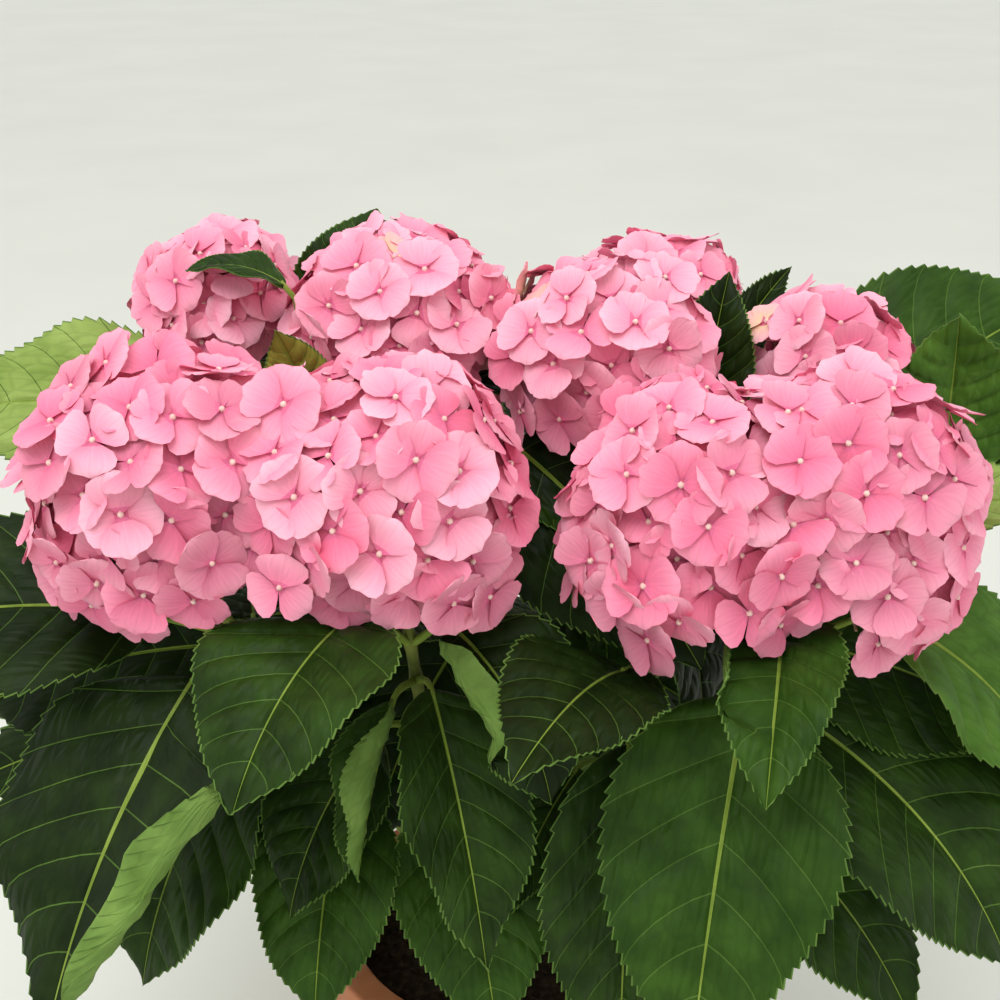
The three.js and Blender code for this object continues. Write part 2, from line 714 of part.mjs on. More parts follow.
// Canes grow from the woody base, each cut to its face and to the canes before it
let limbsSoFar = woodyBase(GAP);
for (const cane of CANES) {
  const curve = caneCurve(cane);
  const solid = limb(curve, 0, 1, CANE_FOOT_RADIUS, CANE_TIP_RADIUS, 3);
  keep(wholeBody(solid.subtract(limbsSoFar)), `cane_${cane.name}`, SURFACES.bark);
  limbsSoFar = limbsSoFar.add(limbRoom(curve, 1, CANE_FOOT_RADIUS, CANE_TIP_RADIUS, 3));
}

// Boughs grow from the canes, the first of each cane from its tip and the others from its side
const curves = new Map();
for (const shoot of SHOOTS) {
  const cane = CANES.find((each) => each.name === shoot.cane);
  const order = SHOOTS.filter((each) => each.cane === shoot.cane).indexOf(shoot);
  const curve = shootCurve(shoot, cane, order);
  curves.set(shoot.name, curve);
  const solid = limb(curve, 0, BOUGH_END, BOUGH_FOOT_RADIUS, BOUGH_END_RADIUS, 2);
  keep(wholeBody(solid.subtract(limbsSoFar)), `bough_${shoot.name}`, SURFACES.stem);
  limbsSoFar = limbsSoFar.add(limbRoom(curve, BOUGH_END, BOUGH_FOOT_RADIUS, BOUGH_END_RADIUS, 2));
}

// What the leaves are kept clear of: pot, compost, limbs, stems, stalks and the blooms' cores
const obstacles = placed.map((solid) => ({ solid, shoot: '' }));
const stems = new Map();
const stalks = new Map();
for (const shoot of SHOOTS) {
  const curve = curves.get(shoot.name);
  const foot = further(curve, BOUGH_END, GAP);
  const neck = further(curve, STALK_START, GAP);
  const stem = limb(curve, foot, STALK_START, BOUGH_END_RADIUS, STEM_TOP_RADIUS, 4);
  const stalk = limb(curve, neck, 1, STEM_TOP_RADIUS, STEM_TOP_RADIUS, 1);
  stems.set(shoot.name, stem);
  stalks.set(shoot.name, stalk);
  obstacles.push({ solid: stem, shoot: shoot.name });
  obstacles.push({ solid: stalk, shoot: shoot.name });
  obstacles.push({ solid: coreSolid(shoot), shoot: '' });
}

// The leaves with notes are placed first, then the others, shoot by shoot
const masses = new Map(stems);
const allLeaves = SHOOTS.flatMap((shoot, index) => (
  shootLeaves(shoot, curves.get(shoot.name), SEED_STEP * (index + 1))
));
for (const noted of [true, false]) {
  for (const leaf of allLeaves.filter((each) => each.noted === noted)) {
    const fitted = fitLeaf(leaf, obstacles);
    if (fitted === null) {
      continue;
    }
    const solid = leafSolid(fitted);
    obstacles.push({ solid, shoot: leaf.shoot });
    masses.set(leaf.shoot, masses.get(leaf.shoot).add(solid));
  }
}
for (const shoot of SHOOTS) {
  keep(wholeBody(masses.get(shoot.name)), `leaves_${shoot.name}`, SURFACES.leaf);
}

SHOOTS.forEach((shoot, index) => {
  let bloom = stalks.get(shoot.name).add(coreSolid(shoot));
  const others = [...placed];
  const seed = SEED_STEP * (index + FLORET_SEED_START);
  for (const { place, outward, spin } of floretPlaces(shoot, seed)) {
    const floret = floretSolid(place, outward, spin);
    if (isClear(floret, others)) {
      bloom = bloom.add(floret);
    }
  }
  const solid = wholeBody(partBlooms(bloom, shoot)).simplify(BLOOM_STEP);
  keep(solid, `bloom_${shoot.name}`, SURFACES.petal);
});

export default shrub;
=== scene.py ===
import json
import math

import bpy
import numpy as np
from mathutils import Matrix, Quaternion, Vector, noise
from mathutils.bvhtree import BVHTree

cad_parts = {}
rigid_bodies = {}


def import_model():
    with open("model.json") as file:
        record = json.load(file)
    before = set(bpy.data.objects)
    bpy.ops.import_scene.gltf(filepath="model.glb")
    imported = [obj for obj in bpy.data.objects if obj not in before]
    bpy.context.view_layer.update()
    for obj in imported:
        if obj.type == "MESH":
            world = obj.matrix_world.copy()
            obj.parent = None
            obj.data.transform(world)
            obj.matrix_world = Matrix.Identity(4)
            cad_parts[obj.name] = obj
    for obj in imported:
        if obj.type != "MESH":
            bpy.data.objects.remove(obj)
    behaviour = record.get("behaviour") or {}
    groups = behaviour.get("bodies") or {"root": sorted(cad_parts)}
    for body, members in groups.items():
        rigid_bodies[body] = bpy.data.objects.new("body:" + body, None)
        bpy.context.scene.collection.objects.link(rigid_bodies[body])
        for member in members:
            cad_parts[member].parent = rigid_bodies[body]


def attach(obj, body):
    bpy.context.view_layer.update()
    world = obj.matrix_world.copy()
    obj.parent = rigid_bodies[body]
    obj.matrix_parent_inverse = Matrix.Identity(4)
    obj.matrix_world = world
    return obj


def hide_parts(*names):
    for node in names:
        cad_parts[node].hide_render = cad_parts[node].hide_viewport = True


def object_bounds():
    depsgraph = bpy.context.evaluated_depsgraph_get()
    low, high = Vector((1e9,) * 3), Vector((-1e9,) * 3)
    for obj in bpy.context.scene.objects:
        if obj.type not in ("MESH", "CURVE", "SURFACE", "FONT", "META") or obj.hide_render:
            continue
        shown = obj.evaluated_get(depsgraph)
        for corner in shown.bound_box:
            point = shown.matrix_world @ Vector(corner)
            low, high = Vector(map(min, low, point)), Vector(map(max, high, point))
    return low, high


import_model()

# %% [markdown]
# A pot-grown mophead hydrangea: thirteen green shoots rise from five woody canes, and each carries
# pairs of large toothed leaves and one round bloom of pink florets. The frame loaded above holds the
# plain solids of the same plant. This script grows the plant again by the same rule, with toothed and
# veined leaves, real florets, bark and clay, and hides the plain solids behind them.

# The rule works in millimetres, and the meshes are made in metres
MM, METRE_MM = 0.001, 1000
low_before, high_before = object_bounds()
size = [round(high - low, 3) for low, high in zip(low_before, high_before)]
print("the frame's box is", size, "metres")

# %% [markdown]
# The photograph looks down on the blooms from close by. A camera could be turned to follow a target, but
# its place and tilt are known: it stands 0.72 m in front of the plant's middle and looks down by 25
# degrees, and a lens of 51 mm gives the same perspective. The Standard view transform shows colours as
# they are given.

# %% Camera
CAMERA_PLACE, CAMERA_DOWN_DEGREES, LENS_MM, SENSOR_MM = (0, -0.72, 0.80), 25, 51.2, 36
scene = bpy.context.scene
camera = bpy.data.objects.new("camera", bpy.data.cameras.new("camera"))
camera.location = CAMERA_PLACE
camera.rotation_euler = (math.radians(90 - CAMERA_DOWN_DEGREES), 0, 0)
camera.data.lens, camera.data.sensor_width = LENS_MM, SENSOR_MM
camera.data.dof.use_dof = False
scene.collection.objects.link(camera)
scene.camera = camera
scene.view_settings.view_transform = "Standard"
scene.cycles.use_denoising = True
print("camera at", CAMERA_PLACE, "with a lens of", LENS_MM, "mm")

# %% [markdown]
# Colours are written as sRGB hex codes, as a paint program shows them, but shaders read linear values.
# And every material and tree below is a web of nodes. Two small helpers do both jobs, so that the cells
# after this one say only what is in each material.

# %% Colours and nodes

def linear(code):
    """An sRGB hex colour as the linear values that a shader reads, by the numbers of that standard."""
    channels = [int(code[i:i + 2], 16) / 255 for i in (1, 3, 5)]
    return [c / 12.92 if c <= 0.04045 else ((c + 0.055) / 1.055) ** 2.4 for c in channels] + [1.0]


def add_node(tree, kind, settings=None, values=None, links=None):
    """Adds a node: settings are its properties, values its inputs, and links what feeds its inputs."""
    node = tree.nodes.new(kind)
    for name, value in (settings or {}).items():
        setattr(node, name, value)
    for key, value in (values or {}).items():
        node.inputs[key].default_value = value
    for key, source in (links or {}).items():
        tree.links.new(source, node.inputs[key])
    return node


print("a leaf green of #2f4b15 is", [round(c, 3) for c in linear("#2f4b15")[:3]], "in linear values")

# %% [markdown]
# The photograph's light is even and soft. It could come from a picture of a room, but a plain pale world
# with one broad lamp above and in front gives the same soft shadows, and is the same from every side.

# %% Light
LAMP_PLACE, LAMP_TARGET, LAMP_SIZE, LAMP_WATTS = (-0.4, -0.9, 2.3), (0, 0, 0.5), 1.3, 24
WORLD_STRENGTH = 1.08
world = bpy.data.worlds.new("studio")
scene.world = world
world.use_nodes = True
background = world.node_tree.nodes["Background"]
background.inputs["Color"].default_value = linear("#f4f5f1")
background.inputs["Strength"].default_value = WORLD_STRENGTH
lamp = bpy.data.objects.new("lamp above", bpy.data.lights.new("lamp above", "AREA"))
lamp.data.size, lamp.data.energy = LAMP_SIZE, LAMP_WATTS
lamp.location = LAMP_PLACE
lamp.rotation_euler = (Vector(LAMP_TARGET) - Vector(LAMP_PLACE)).to_track_quat("-Z", "Y").to_euler()
scene.collection.objects.link(lamp)
print("one lamp of", LAMP_WATTS, "watts,", LAMP_SIZE, "metres wide")

# %% [markdown]
# Photographs of leaves and bark could be laid over the meshes, but they would hold one plant's light
# and stretch on curved pieces. So every material is procedural. Each is named for what it really is and
# starts from one Principled shader. Patterns read the object's own coordinates, in metres, so a Noise
# or Voronoi texture at scale 1 / size repeats about once in that real size.

# %% Shader helpers
PATCH_EDGES = 0.32, 0.68


def new_material(name, roughness, specular=0.5, ior=1.45):
    """A material with a Principled shader, and the object coordinates that its patterns read."""
    material = bpy.data.materials.new(name)
    material.use_nodes = True
    tree = material.node_tree
    shader = tree.nodes["Principled BSDF"]
    shader.inputs["Roughness"].default_value = roughness
    shader.inputs["Specular IOR Level"].default_value = specular
    shader.inputs["IOR"].default_value = ior
    place = add_node(tree, "ShaderNodeTexCoord").outputs["Object"]
    return material, tree, shader, place


def mottled(tree, place, size_mm, codes, detail=4.0):
    """A colour that wanders between two or three sRGB colours in patches of a size in millimetres."""
    patches = add_node(tree, "ShaderNodeTexNoise", values={"Scale": METRE_MM / size_mm, "Detail": detail},
                       links={"Vector": place})
    ramp = add_node(tree, "ShaderNodeValToRGB", links={"Fac": patches.outputs["Fac"]})
    band = ramp.color_ramp.elements
    for element, position, code in zip(band, PATCH_EDGES, (codes[0], codes[-1])):
        element.position, element.color = position, linear(code)
    if len(codes) > 2:
        band.new(0.5).color = linear(codes[1])
    return ramp.outputs["Color"]


def grained(tree, shader, place, size_mm, detail, strength, depth_mm, below=None):
    """A fine grain of a size and depth in millimetres, on top of the bumps below it."""
    grain = add_node(tree, "ShaderNodeTexNoise", values={"Scale": METRE_MM / size_mm, "Detail": detail},
                     links={"Vector": place})
    bumps = add_node(tree, "ShaderNodeBump", values={"Strength": strength, "Distance": depth_mm * MM},
                     links={"Height": grain.outputs["Fac"]})
    if below is not None:
        tree.links.new(below.outputs["Normal"], bumps.inputs["Normal"])
    tree.links.new(bumps.outputs["Normal"], shader.inputs["Normal"])


print("patches of colour blend between", PATCH_EDGES, "of their noise")

# %% [markdown]
# The plant stands on pale studio paper. A square floor would show a corner at the horizon in some
# views, so it is a wide round disc. It is staging only, and never part of the plant.

# %% The studio floor
FLOOR_RADIUS, FLOOR_SIDES, FLOOR_CLOUD_MM = 60.0, 128, 400
# Matt paper: no gleam, and clouds of two near greys so faint that it still looks plain
floor_paper, tree, shader, place = new_material("matt studio paper", roughness=0.9, specular=0.2)
clouds = mottled(tree, place, FLOOR_CLOUD_MM, ["#dcddd7", "#e0e1db"])
tree.links.new(clouds, shader.inputs["Base Color"])
floor_mesh = bpy.data.meshes.new("floor")
floor_turns = [2 * math.pi * i / FLOOR_SIDES for i in range(FLOOR_SIDES)]
floor_edge = [(FLOOR_RADIUS * math.cos(turn), FLOOR_RADIUS * math.sin(turn), 0) for turn in floor_turns]
floor_mesh.from_pydata(floor_edge, [], [tuple(range(FLOOR_SIDES))])
floor_mesh.materials.append(floor_paper)
floor = bpy.data.objects.new("floor", floor_mesh)
scene.collection.objects.link(floor)
print("floor of", FLOOR_RADIUS * 2, "metres across")

# %% [markdown]
# A hydrangea leaf is leathery and dark green above, paler and duller below. Rungs of small veins run
# between its side veins and quilt the tissue, about 7 mm apart. A net on object coordinates would run
# across the leaves with no regard to how they lie, so it is a Voronoi texture on the leaf's own map,
# which runs across the blade and along it from vein to vein. Each leaf takes one of a few plain greens,
# and the midrib, side veins and rim have greens of their own, so the colours stay in their places on a
# piece of many leaves.

# %% Leaf materials
LEAF_PATCH_MM, LEAF_GRAIN_MM = 22, 1.6


def leaf_skin(name, codes, roughness, net_depth_mm):
    """Leaf tissue: its green wanders a little, and a net of small veins quilts it."""
    material, tree, shader, place = new_material(name, roughness, specular=0.14, ior=1.42)
    green = mottled(tree, place, LEAF_PATCH_MM, codes)
    run = add_node(tree, "ShaderNodeUVMap", {"uv_map": "UVMap"}).outputs["UV"]
    cells = add_node(tree, "ShaderNodeTexVoronoi", {"feature": "DISTANCE_TO_EDGE"},
                     {"Scale": 1.0, "Randomness": 0.8}, {"Vector": run})
    # Along the small veins the green darkens by up to 14 per cent: painted shade of their impressed lines
    net = add_node(tree, "ShaderNodeMapRange", values={"From Max": 0.1, "To Min": 0.86, "To Max": 1.0},
                   links={"Value": cells.outputs["Distance"]})
    swelling = add_node(tree, "ShaderNodeMapRange", {"interpolation_type": "SMOOTHSTEP"}, {"From Max": 0.4},
                        {"Value": cells.outputs["Distance"]})
    shaded = add_node(tree, "ShaderNodeHueSaturation",
                      links={"Color": green, "Value": net.outputs["Result"]})
    tree.links.new(shaded.outputs["Color"], shader.inputs["Base Color"])
    quilting = add_node(tree, "ShaderNodeBump", values={"Strength": 0.7, "Distance": net_depth_mm * MM},
                        links={"Height": swelling.outputs["Result"]})
    # The real grain of cells is finer than a tenth of a millimetre, and 1.6 mm is as fine as shows
    grained(tree, shader, place, LEAF_GRAIN_MM, detail=3, strength=0.2, depth_mm=0.3, below=quilting)
    return material


# Each leaf material ends with its roughness and the depth of its quilting in millimetres
LEAF_TOPS = [
    # Low leaves: near-black, partly their own deep green and partly painted shade; a dull gleam on swellings
    leaf_skin("leaf top, darkest, partly painted shade", ["#132108", "#19290a", "#21330e"], 0.46, 1.1),
    # The usual grown leaf: deep green with a soft gleam
    leaf_skin("leaf top, dark", ["#1b2e0b", "#243a0f", "#2c4613"], 0.48, 1.1),
    # Leaves out in the light: a full, slightly warmer green
    leaf_skin("leaf top, full green", ["#264010", "#2f4b15", "#38571a"], 0.5, 1.1),
    # Young leaves: fresh green, thinner and more matt
    leaf_skin("leaf top, young", ["#39591a", "#456822", "#51752a"], 0.52, 1.0),
    # Leaves that catch the light flat on: pale, almost chalky green
    leaf_skin("leaf top, pale", ["#7d9446", "#899f50", "#96ab5c"], 0.58, 1.0),
    # A tired leaf between blooms: olive, turning yellow
    leaf_skin("leaf top, yellowing", ["#75732d", "#838033", "#6b7030"], 0.55, 1.0),
]
# The underside has no shine: a pale felted green, as rolled edges show
leaf_under = leaf_skin("leaf underside", ["#5f7c36", "#6b8941", "#789549"], 0.62, 0.9)
# Veins hold less green, so they draw light lines on the dark blade
midrib_green = leaf_skin("midrib", ["#748b34", "#82983e", "#90a54a"], 0.5, 0.3)
side_vein_green = leaf_skin("side vein", ["#3f5a20", "#4a6628", "#557230"], 0.5, 0.3)
# The cut edge of the blade catches the light as a thin pale line
leaf_rim = leaf_skin("leaf rim", ["#4c6a2b", "#587533", "#64813c"], 0.55, 0.3)
LEAF_MATERIALS = LEAF_TOPS + [leaf_under, midrib_green, side_vein_green, leaf_rim]
UNDER_SLOT, MIDRIB_SLOT, VEIN_SLOT, RIM_SLOT = range(len(LEAF_TOPS), len(LEAF_TOPS) + 4)
print(len(LEAF_MATERIALS), "leaf materials")

# %% [markdown]
# The sepals of a mophead are soft and matt, with fine ribs that fan out from the eye. One pink with a
# noise over the whole bloom would be quick, but it would ignore where each floret begins and ends. So
# every floret takes one of a few pinks, and its heart a deeper one. Each sepal's own map runs across it
# and along it, and a Noise texture stretched along the sepal gives ribs that follow it.

# %% Floret materials
SEPAL_BODY_AT, SEPAL_RIB_MM, SEPAL_GRAIN_MM, EYE_PATCH_MM = 0.45, 0.5, 1.5, 3
# How many ribs lie side by side across a sepal, and how often they break along it
SEPAL_RIBS = (16, 1.4, 1)


def sepal_skin(name, heart, body, edge):
    """A sepal: deeper at its foot, paler at its edge, with fine ribs along it."""
    material, tree, shader, place = new_material(name, roughness=0.62, specular=0.3, ior=1.4)
    run = add_node(tree, "ShaderNodeUVMap", {"uv_map": "UVMap"}).outputs["UV"]
    along = add_node(tree, "ShaderNodeSeparateXYZ", links={"Vector": run}).outputs["Y"]
    ramp = add_node(tree, "ShaderNodeValToRGB", links={"Fac": along})
    ramp.color_ramp.elements[0].color = linear(heart)
    ramp.color_ramp.elements[1].color = linear(edge)
    ramp.color_ramp.elements.new(SEPAL_BODY_AT).color = linear(body)
    stretched = add_node(tree, "ShaderNodeMapping", values={"Scale": SEPAL_RIBS}, links={"Vector": run})
    ribs = add_node(tree, "ShaderNodeTexNoise", values={"Scale": 1.0, "Detail": 3},
                    links={"Vector": stretched.outputs["Vector"]})
    tone = add_node(tree, "ShaderNodeMapRange",
                    values={"From Min": 0.3, "From Max": 0.7, "To Min": 0.89, "To Max": 1.04},
                    links={"Value": ribs.outputs["Fac"]})
    shaded = add_node(tree, "ShaderNodeHueSaturation",
                      links={"Color": ramp.outputs["Color"], "Value": tone.outputs["Result"]})
    tree.links.new(shaded.outputs["Color"], shader.inputs["Base Color"])
    ribbing = add_node(tree, "ShaderNodeBump", values={"Strength": 0.5, "Distance": SEPAL_RIB_MM * MM},
                       links={"Height": ribs.outputs["Fac"]})
    grained(tree, shader, place, SEPAL_GRAIN_MM, detail=2, strength=0.1, depth_mm=0.2, below=ribbing)
    return material


# Each sepal has the pinks of its foot, its middle and its edge
SEPALS = [
    # Fresh florets in full light: pale, with an almost white edge
    sepal_skin("sepal, pale pink", "#f388a8", "#f8a2bb", "#fab8cb"),
    # Most florets: a clear, warm pink
    sepal_skin("sepal, clear pink", "#ef7c9f", "#f692af", "#f9a9bf"),
    # A full rose, at random and on the inner layer, where it is painted shade filling the gaps with colour
    sepal_skin("sepal, rose pink", "#e96c91", "#f080a1", "#f598b2"),
    # A pink a little towards mauve, at random and on a bloom's underside, where it is painted shade
    sepal_skin("sepal, mauve pink", "#da7394", "#e586a1", "#ec9db2"),
    # Florets that have just opened: cream at the heart, before the pink comes
    sepal_skin("sepal, cream, just open", "#eecfa2", "#f6bfb3", "#f9b7c2"),
]
# The foot of each sepal is the deepest pink, so every floret has a centre
sepal_heart = sepal_skin("sepal heart", "#dd6b92", "#e87c9f", "#f08cab")
# The closed true flower in the middle: a waxy, creamy bead
eye_bead, tree, shader, place = new_material("floret eye", roughness=0.5, specular=0.4, ior=1.4)
tree.links.new(mottled(tree, place, EYE_PATCH_MM, ["#e7b9b4", "#efd2c6"]), shader.inputs["Base Color"])
print(len(SEPALS), "shades of sepal")

# %% [markdown]
# New stems are green and faintly ribbed; the canes they grow from are a year old or more, with pale
# brown bark that splits lengthwise and flakes. Bump alone could draw the bark, but its outline would stay
# smooth, so the large relief is in the meshes and the materials add only the fine grain.

# %% Stem and bark materials
STEM_PATCH_MM, STEM_STRETCH = 14, (1, 1, 0.16)


def stem_skin(name, codes, roughness, grain_mm, depth_mm):
    """Stem or bark: patches of colour under fine ribs that run up the stem."""
    material, tree, shader, place = new_material(name, roughness, specular=0.35)
    tree.links.new(mottled(tree, place, STEM_PATCH_MM, codes, detail=6.0), shader.inputs["Base Color"])
    upright = add_node(tree, "ShaderNodeMapping", values={"Scale": STEM_STRETCH}, links={"Vector": place})
    grained(tree, shader, upright.outputs["Vector"], grain_mm, detail=5, strength=0.7, depth_mm=depth_mm)
    return material


# Each limb material ends with its roughness, and the breadth and depth of its ribs in millimetres.
# Green skin of this year's stem: satin, with freckles of olive
green_stem = stem_skin("green stem", ["#4f5a1c", "#65702a", "#7b8438"], 0.55, 2.0, 0.4)
# Floret stalks: thin, green at the fork and flushed with pink
pink_stalk = stem_skin("floret stalk", ["#a9b36b", "#c3a883", "#cf9a94"], 0.55, 1.5, 0.2)
# Old bark: dry, matt and dusty, in browns that change along the grain
cane_bark = stem_skin("cane bark", ["#5d4a30", "#7d6848", "#9a8561"], 0.9, 1.8, 0.9)
print("three skins for limbs, with patches of", STEM_PATCH_MM, "mm")

# %% [markdown]
# The pot is plain fired clay, and the compost is peat with bark in it. One flat brown for each would do
# from far off, but close by clay shows where it was wet, and peat is made of darker and browner crumbs.

# %% Compost and clay materials
PEAT_PATCH_MM, PEAT_GRIT_MM, CLAY_PATCH_MM, LIME_PATCH_MM, CLAY_PORE_MM = 5, 2.5, 45, 60, 1.2
# Moist peat: almost black, with browner crumbs, and no shine
peat, tree, shader, place = new_material("potting compost", roughness=0.95, specular=0.25)
crumbly = mottled(tree, place, PEAT_PATCH_MM, ["#1d140e", "#2b1f16", "#43342a"], detail=8.0)
tree.links.new(crumbly, shader.inputs["Base Color"])
grained(tree, shader, place, PEAT_GRIT_MM, detail=6, strength=0.9, depth_mm=1.5)

# Unglazed clay: warm orange-brown and matt, with a pale bloom of lime where water has dried
clay, tree, shader, place = new_material("fired clay", roughness=0.85, specular=0.3, ior=1.5)
fired = mottled(tree, place, CLAY_PATCH_MM, ["#a35c3a", "#b36a45", "#bd7751"], detail=6.0)
stains = add_node(tree, "ShaderNodeTexNoise", values={"Scale": METRE_MM / LIME_PATCH_MM, "Detail": 8},
                  links={"Vector": place})
lime = add_node(tree, "ShaderNodeMapRange", values={"From Min": 0.55, "From Max": 0.78, "To Max": 0.55},
                links={"Value": stains.outputs["Fac"]})
# A Mix node's colours are its inputs 6 and 7 and its output 2
mixed = add_node(tree, "ShaderNodeMix", {"data_type": "RGBA"}, {7: linear("#cfae97")},
                 {"Factor": lime.outputs["Result"], 6: fired})
tree.links.new(mixed.outputs[2], shader.inputs["Base Color"])
grained(tree, shader, place, CLAY_PORE_MM, detail=4, strength=0.35, depth_mm=0.5)
print("materials:", len(bpy.data.materials))

# %% [markdown]
# Now the plan of the plant. Each cane leans a way and has a height. Each shoot is named for its place,
# and has its bloom's middle, half width and half height, and the way its first pair of leaves points.
# Every leaf could be placed by hand, or all by rule. Here they follow the rule of the plant, and only
# the leaves that show in the photograph have notes on how they differ from it. Angles are in degrees
# and sizes in millimetres. A shade is a place in the list of leaf tops, and open is how far florets keep
# off the leaf. A roll has the side of the blade, the line of its fold as a share of the half width, and
# where along the leaf it starts and ends.

# %% The plan
CANES = {
    "left_front": {"angle": 218, "reach": 46, "top": 214},
    "left_back": {"angle": 146, "reach": 48, "top": 212},
    "right_front": {"angle": 318, "reach": 46, "top": 210},
    "right_back": {"angle": 38, "reach": 48, "top": 214},
    "middle": {"angle": 96, "reach": 16, "top": 222},
}
SHOOTS = [
    {
        "name": "left_front_outer", "cane": "left_front", "bloom": (-160, -110, 516), "half": (66, 74),
        "turn": 188,
        "places": [0.8, 0.74, 0.58, 0.42],
        "notes": {
            "0a": dict(azimuth=188, pitch=-2, length=161, curl=40, share=0.7, roll=-26, stalk=42),
            "1a": dict(azimuth=241, pitch=-46, length=176, curl=36, share=0.84, roll=10, stalk=50, shade=0,
                       rolls=[(1, 0.67, 0.2, 1.1)]),
            "2a": dict(azimuth=227, pitch=-57, length=145, curl=40, share=0.72, roll=-6, stalk=44, shade=1),
            "3a": dict(azimuth=201, pitch=-28, length=150, roll=-14, stalk=34),
        },
    },
    {
        "name": "left_front_inner", "cane": "left_front", "bloom": (-52, -120, 518), "half": (67, 72),
        "turn": 238,
        "places": [0.8, 0.72, 0.6, 0.44],
        "notes": {
            "0a": dict(azimuth=243, pitch=-26, length=112, curl=62, share=0.9, roll=6, stalk=68, lift=38,
                       shade=1, open=15),
            "0b": dict(azimuth=315, pitch=-47, length=100, curl=60, share=0.8, roll=10, stalk=40, lift=34,
                       shade=0, rolls=[(-1, 0.5, -0.1, 0.7)]),
            "1a": dict(azimuth=291, pitch=-56, length=141, curl=30, share=0.56, roll=-14, fold=20, stalk=26,
                       shade=1),
            "1b": dict(azimuth=262, pitch=-57, length=92, curl=30, share=0.5, roll=30, fold=38, lift=10,
                       rolls=[(1, 0.4, 0.0, 1.0)]),
            "2a": dict(azimuth=223, pitch=-55, length=110, share=0.7, roll=-6, stalk=34),
            "3a": dict(azimuth=289, pitch=-49, length=132, roll=6),
        },
    },
    {
        "name": "left_middle_outer", "cane": "left_back", "bloom": (-160, 50, 560), "half": (47, 48),
        "turn": 170,
        "notes": {
            "0a": dict(azimuth=172, pitch=-4, length=172, curl=24, share=0.58, roll=-40, stalk=44, shade=4),
            "1b": dict(azimuth=165, pitch=24, length=72, curl=90, share=0.5, stalk=74, lift=76, swing=40),
        },
    },
    {"name": "left_back_outer", "cane": "left_back", "bloom": (-164, 140, 546), "half": (41, 42),
     "turn": 120},
    {
        "name": "left_middle_inner", "cane": "middle", "bloom": (-55, 30, 556), "half": (63, 57),
        "turn": 320,
        "notes": {
            "0b": dict(azimuth=95, pitch=46, length=104, curl=50, share=0.78, roll=0, stalk=60, lift=40),
            "1a": dict(azimuth=120, pitch=60, length=62, share=0.62, stalk=92, lift=44, swing=212),
        },
    },
    {
        "name": "right_middle_inner", "cane": "middle", "bloom": (57, -10, 550), "half": (60, 58),
        "turn": 262,
        "notes": {
            "0a": dict(azimuth=298, pitch=-48, length=140, curl=40, share=0.8, roll=-6, stalk=34),
            "1b": dict(azimuth=60, pitch=66, length=80, curl=30, share=0.5, fold=34, stalk=88, lift=40,
                       swing=30),
        },
    },
    {
        "name": "right_back_inner", "cane": "right_back", "bloom": (97, 110, 538), "half": (56, 50),
        "turn": 80,
        "notes": {
            "0b": dict(azimuth=350, pitch=34, length=78, curl=30, share=0.5, fold=24, stalk=66, lift=48,
                       swing=340),
        },
    },
    {
        "name": "right_middle_outer", "cane": "right_back", "bloom": (180, 30, 527), "half": (54, 50),
        "turn": 15,
        "notes": {
            "0a": dict(azimuth=21, pitch=29, length=176, curl=30, share=0.8, roll=34, stalk=50, shade=2),
            "1a": dict(azimuth=4, pitch=50, length=140, curl=16, share=0.7, roll=34, stalk=80, lift=14,
                       shade=3),
        },
    },
    {
        "name": "right_front_inner", "cane": "right_front", "bloom": (88, -120, 505), "half": (60, 72),
        "turn": 215,
        "places": [0.8, 0.66, 0.52, 0.38],
        "notes": {
            "1a": dict(azimuth=268, pitch=-79, length=180, curl=24, share=0.58, roll=-10, fold=22, lift=5,
                       shade=1),
        },
    },
    {
        "name": "right_front_outer", "cane": "right_front", "bloom": (172, -104, 502), "half": (60, 77),
        "turn": 257,
        "places": [0.82, 0.74, 0.64, 0.46],
        "notes": {
            "0a": dict(azimuth=257, pitch=-19, length=111, curl=60, share=0.6, fold=22, stalk=46, lift=42,
                       shade=2, open=15, rolls=[(-1, 0.7, -0.1, 0.7)]),
            "0b": dict(azimuth=356, pitch=-50, length=170, curl=50, share=0.56, roll=30, stalk=56, shade=3),
            "1a": dict(azimuth=252, pitch=-56, length=190, curl=36, share=0.64, roll=-8, shade=2),
            "2a": dict(azimuth=333, pitch=-44, length=175, share=0.72, roll=22, stalk=46, shade=1),
            "3a": dict(azimuth=326, pitch=-40, length=165, share=0.66, roll=14, stalk=36, shade=1),
        },
    },
    {"name": "rear_left", "cane": "left_back", "bloom": (-110, 205, 470), "half": (50, 46), "turn": 100},
    {"name": "rear_middle", "cane": "middle", "bloom": (-10, 195, 455), "half": (52, 48), "turn": 60},
    {"name": "rear_right", "cane": "right_back", "bloom": (145, 185, 470), "half": (50, 46), "turn": 30},
]
PAIR_PLACES = [0.8, 0.64, 0.48, 0.34]
print(len(SHOOTS), "shoots on", len(CANES), "canes")

# %% [markdown]
# The limbs thin out from cane to bough to stem, and the pot is as wide as a plant of this size needs.
# Each limb could have measures of its own, but a few radii at the joints taper them all alike.

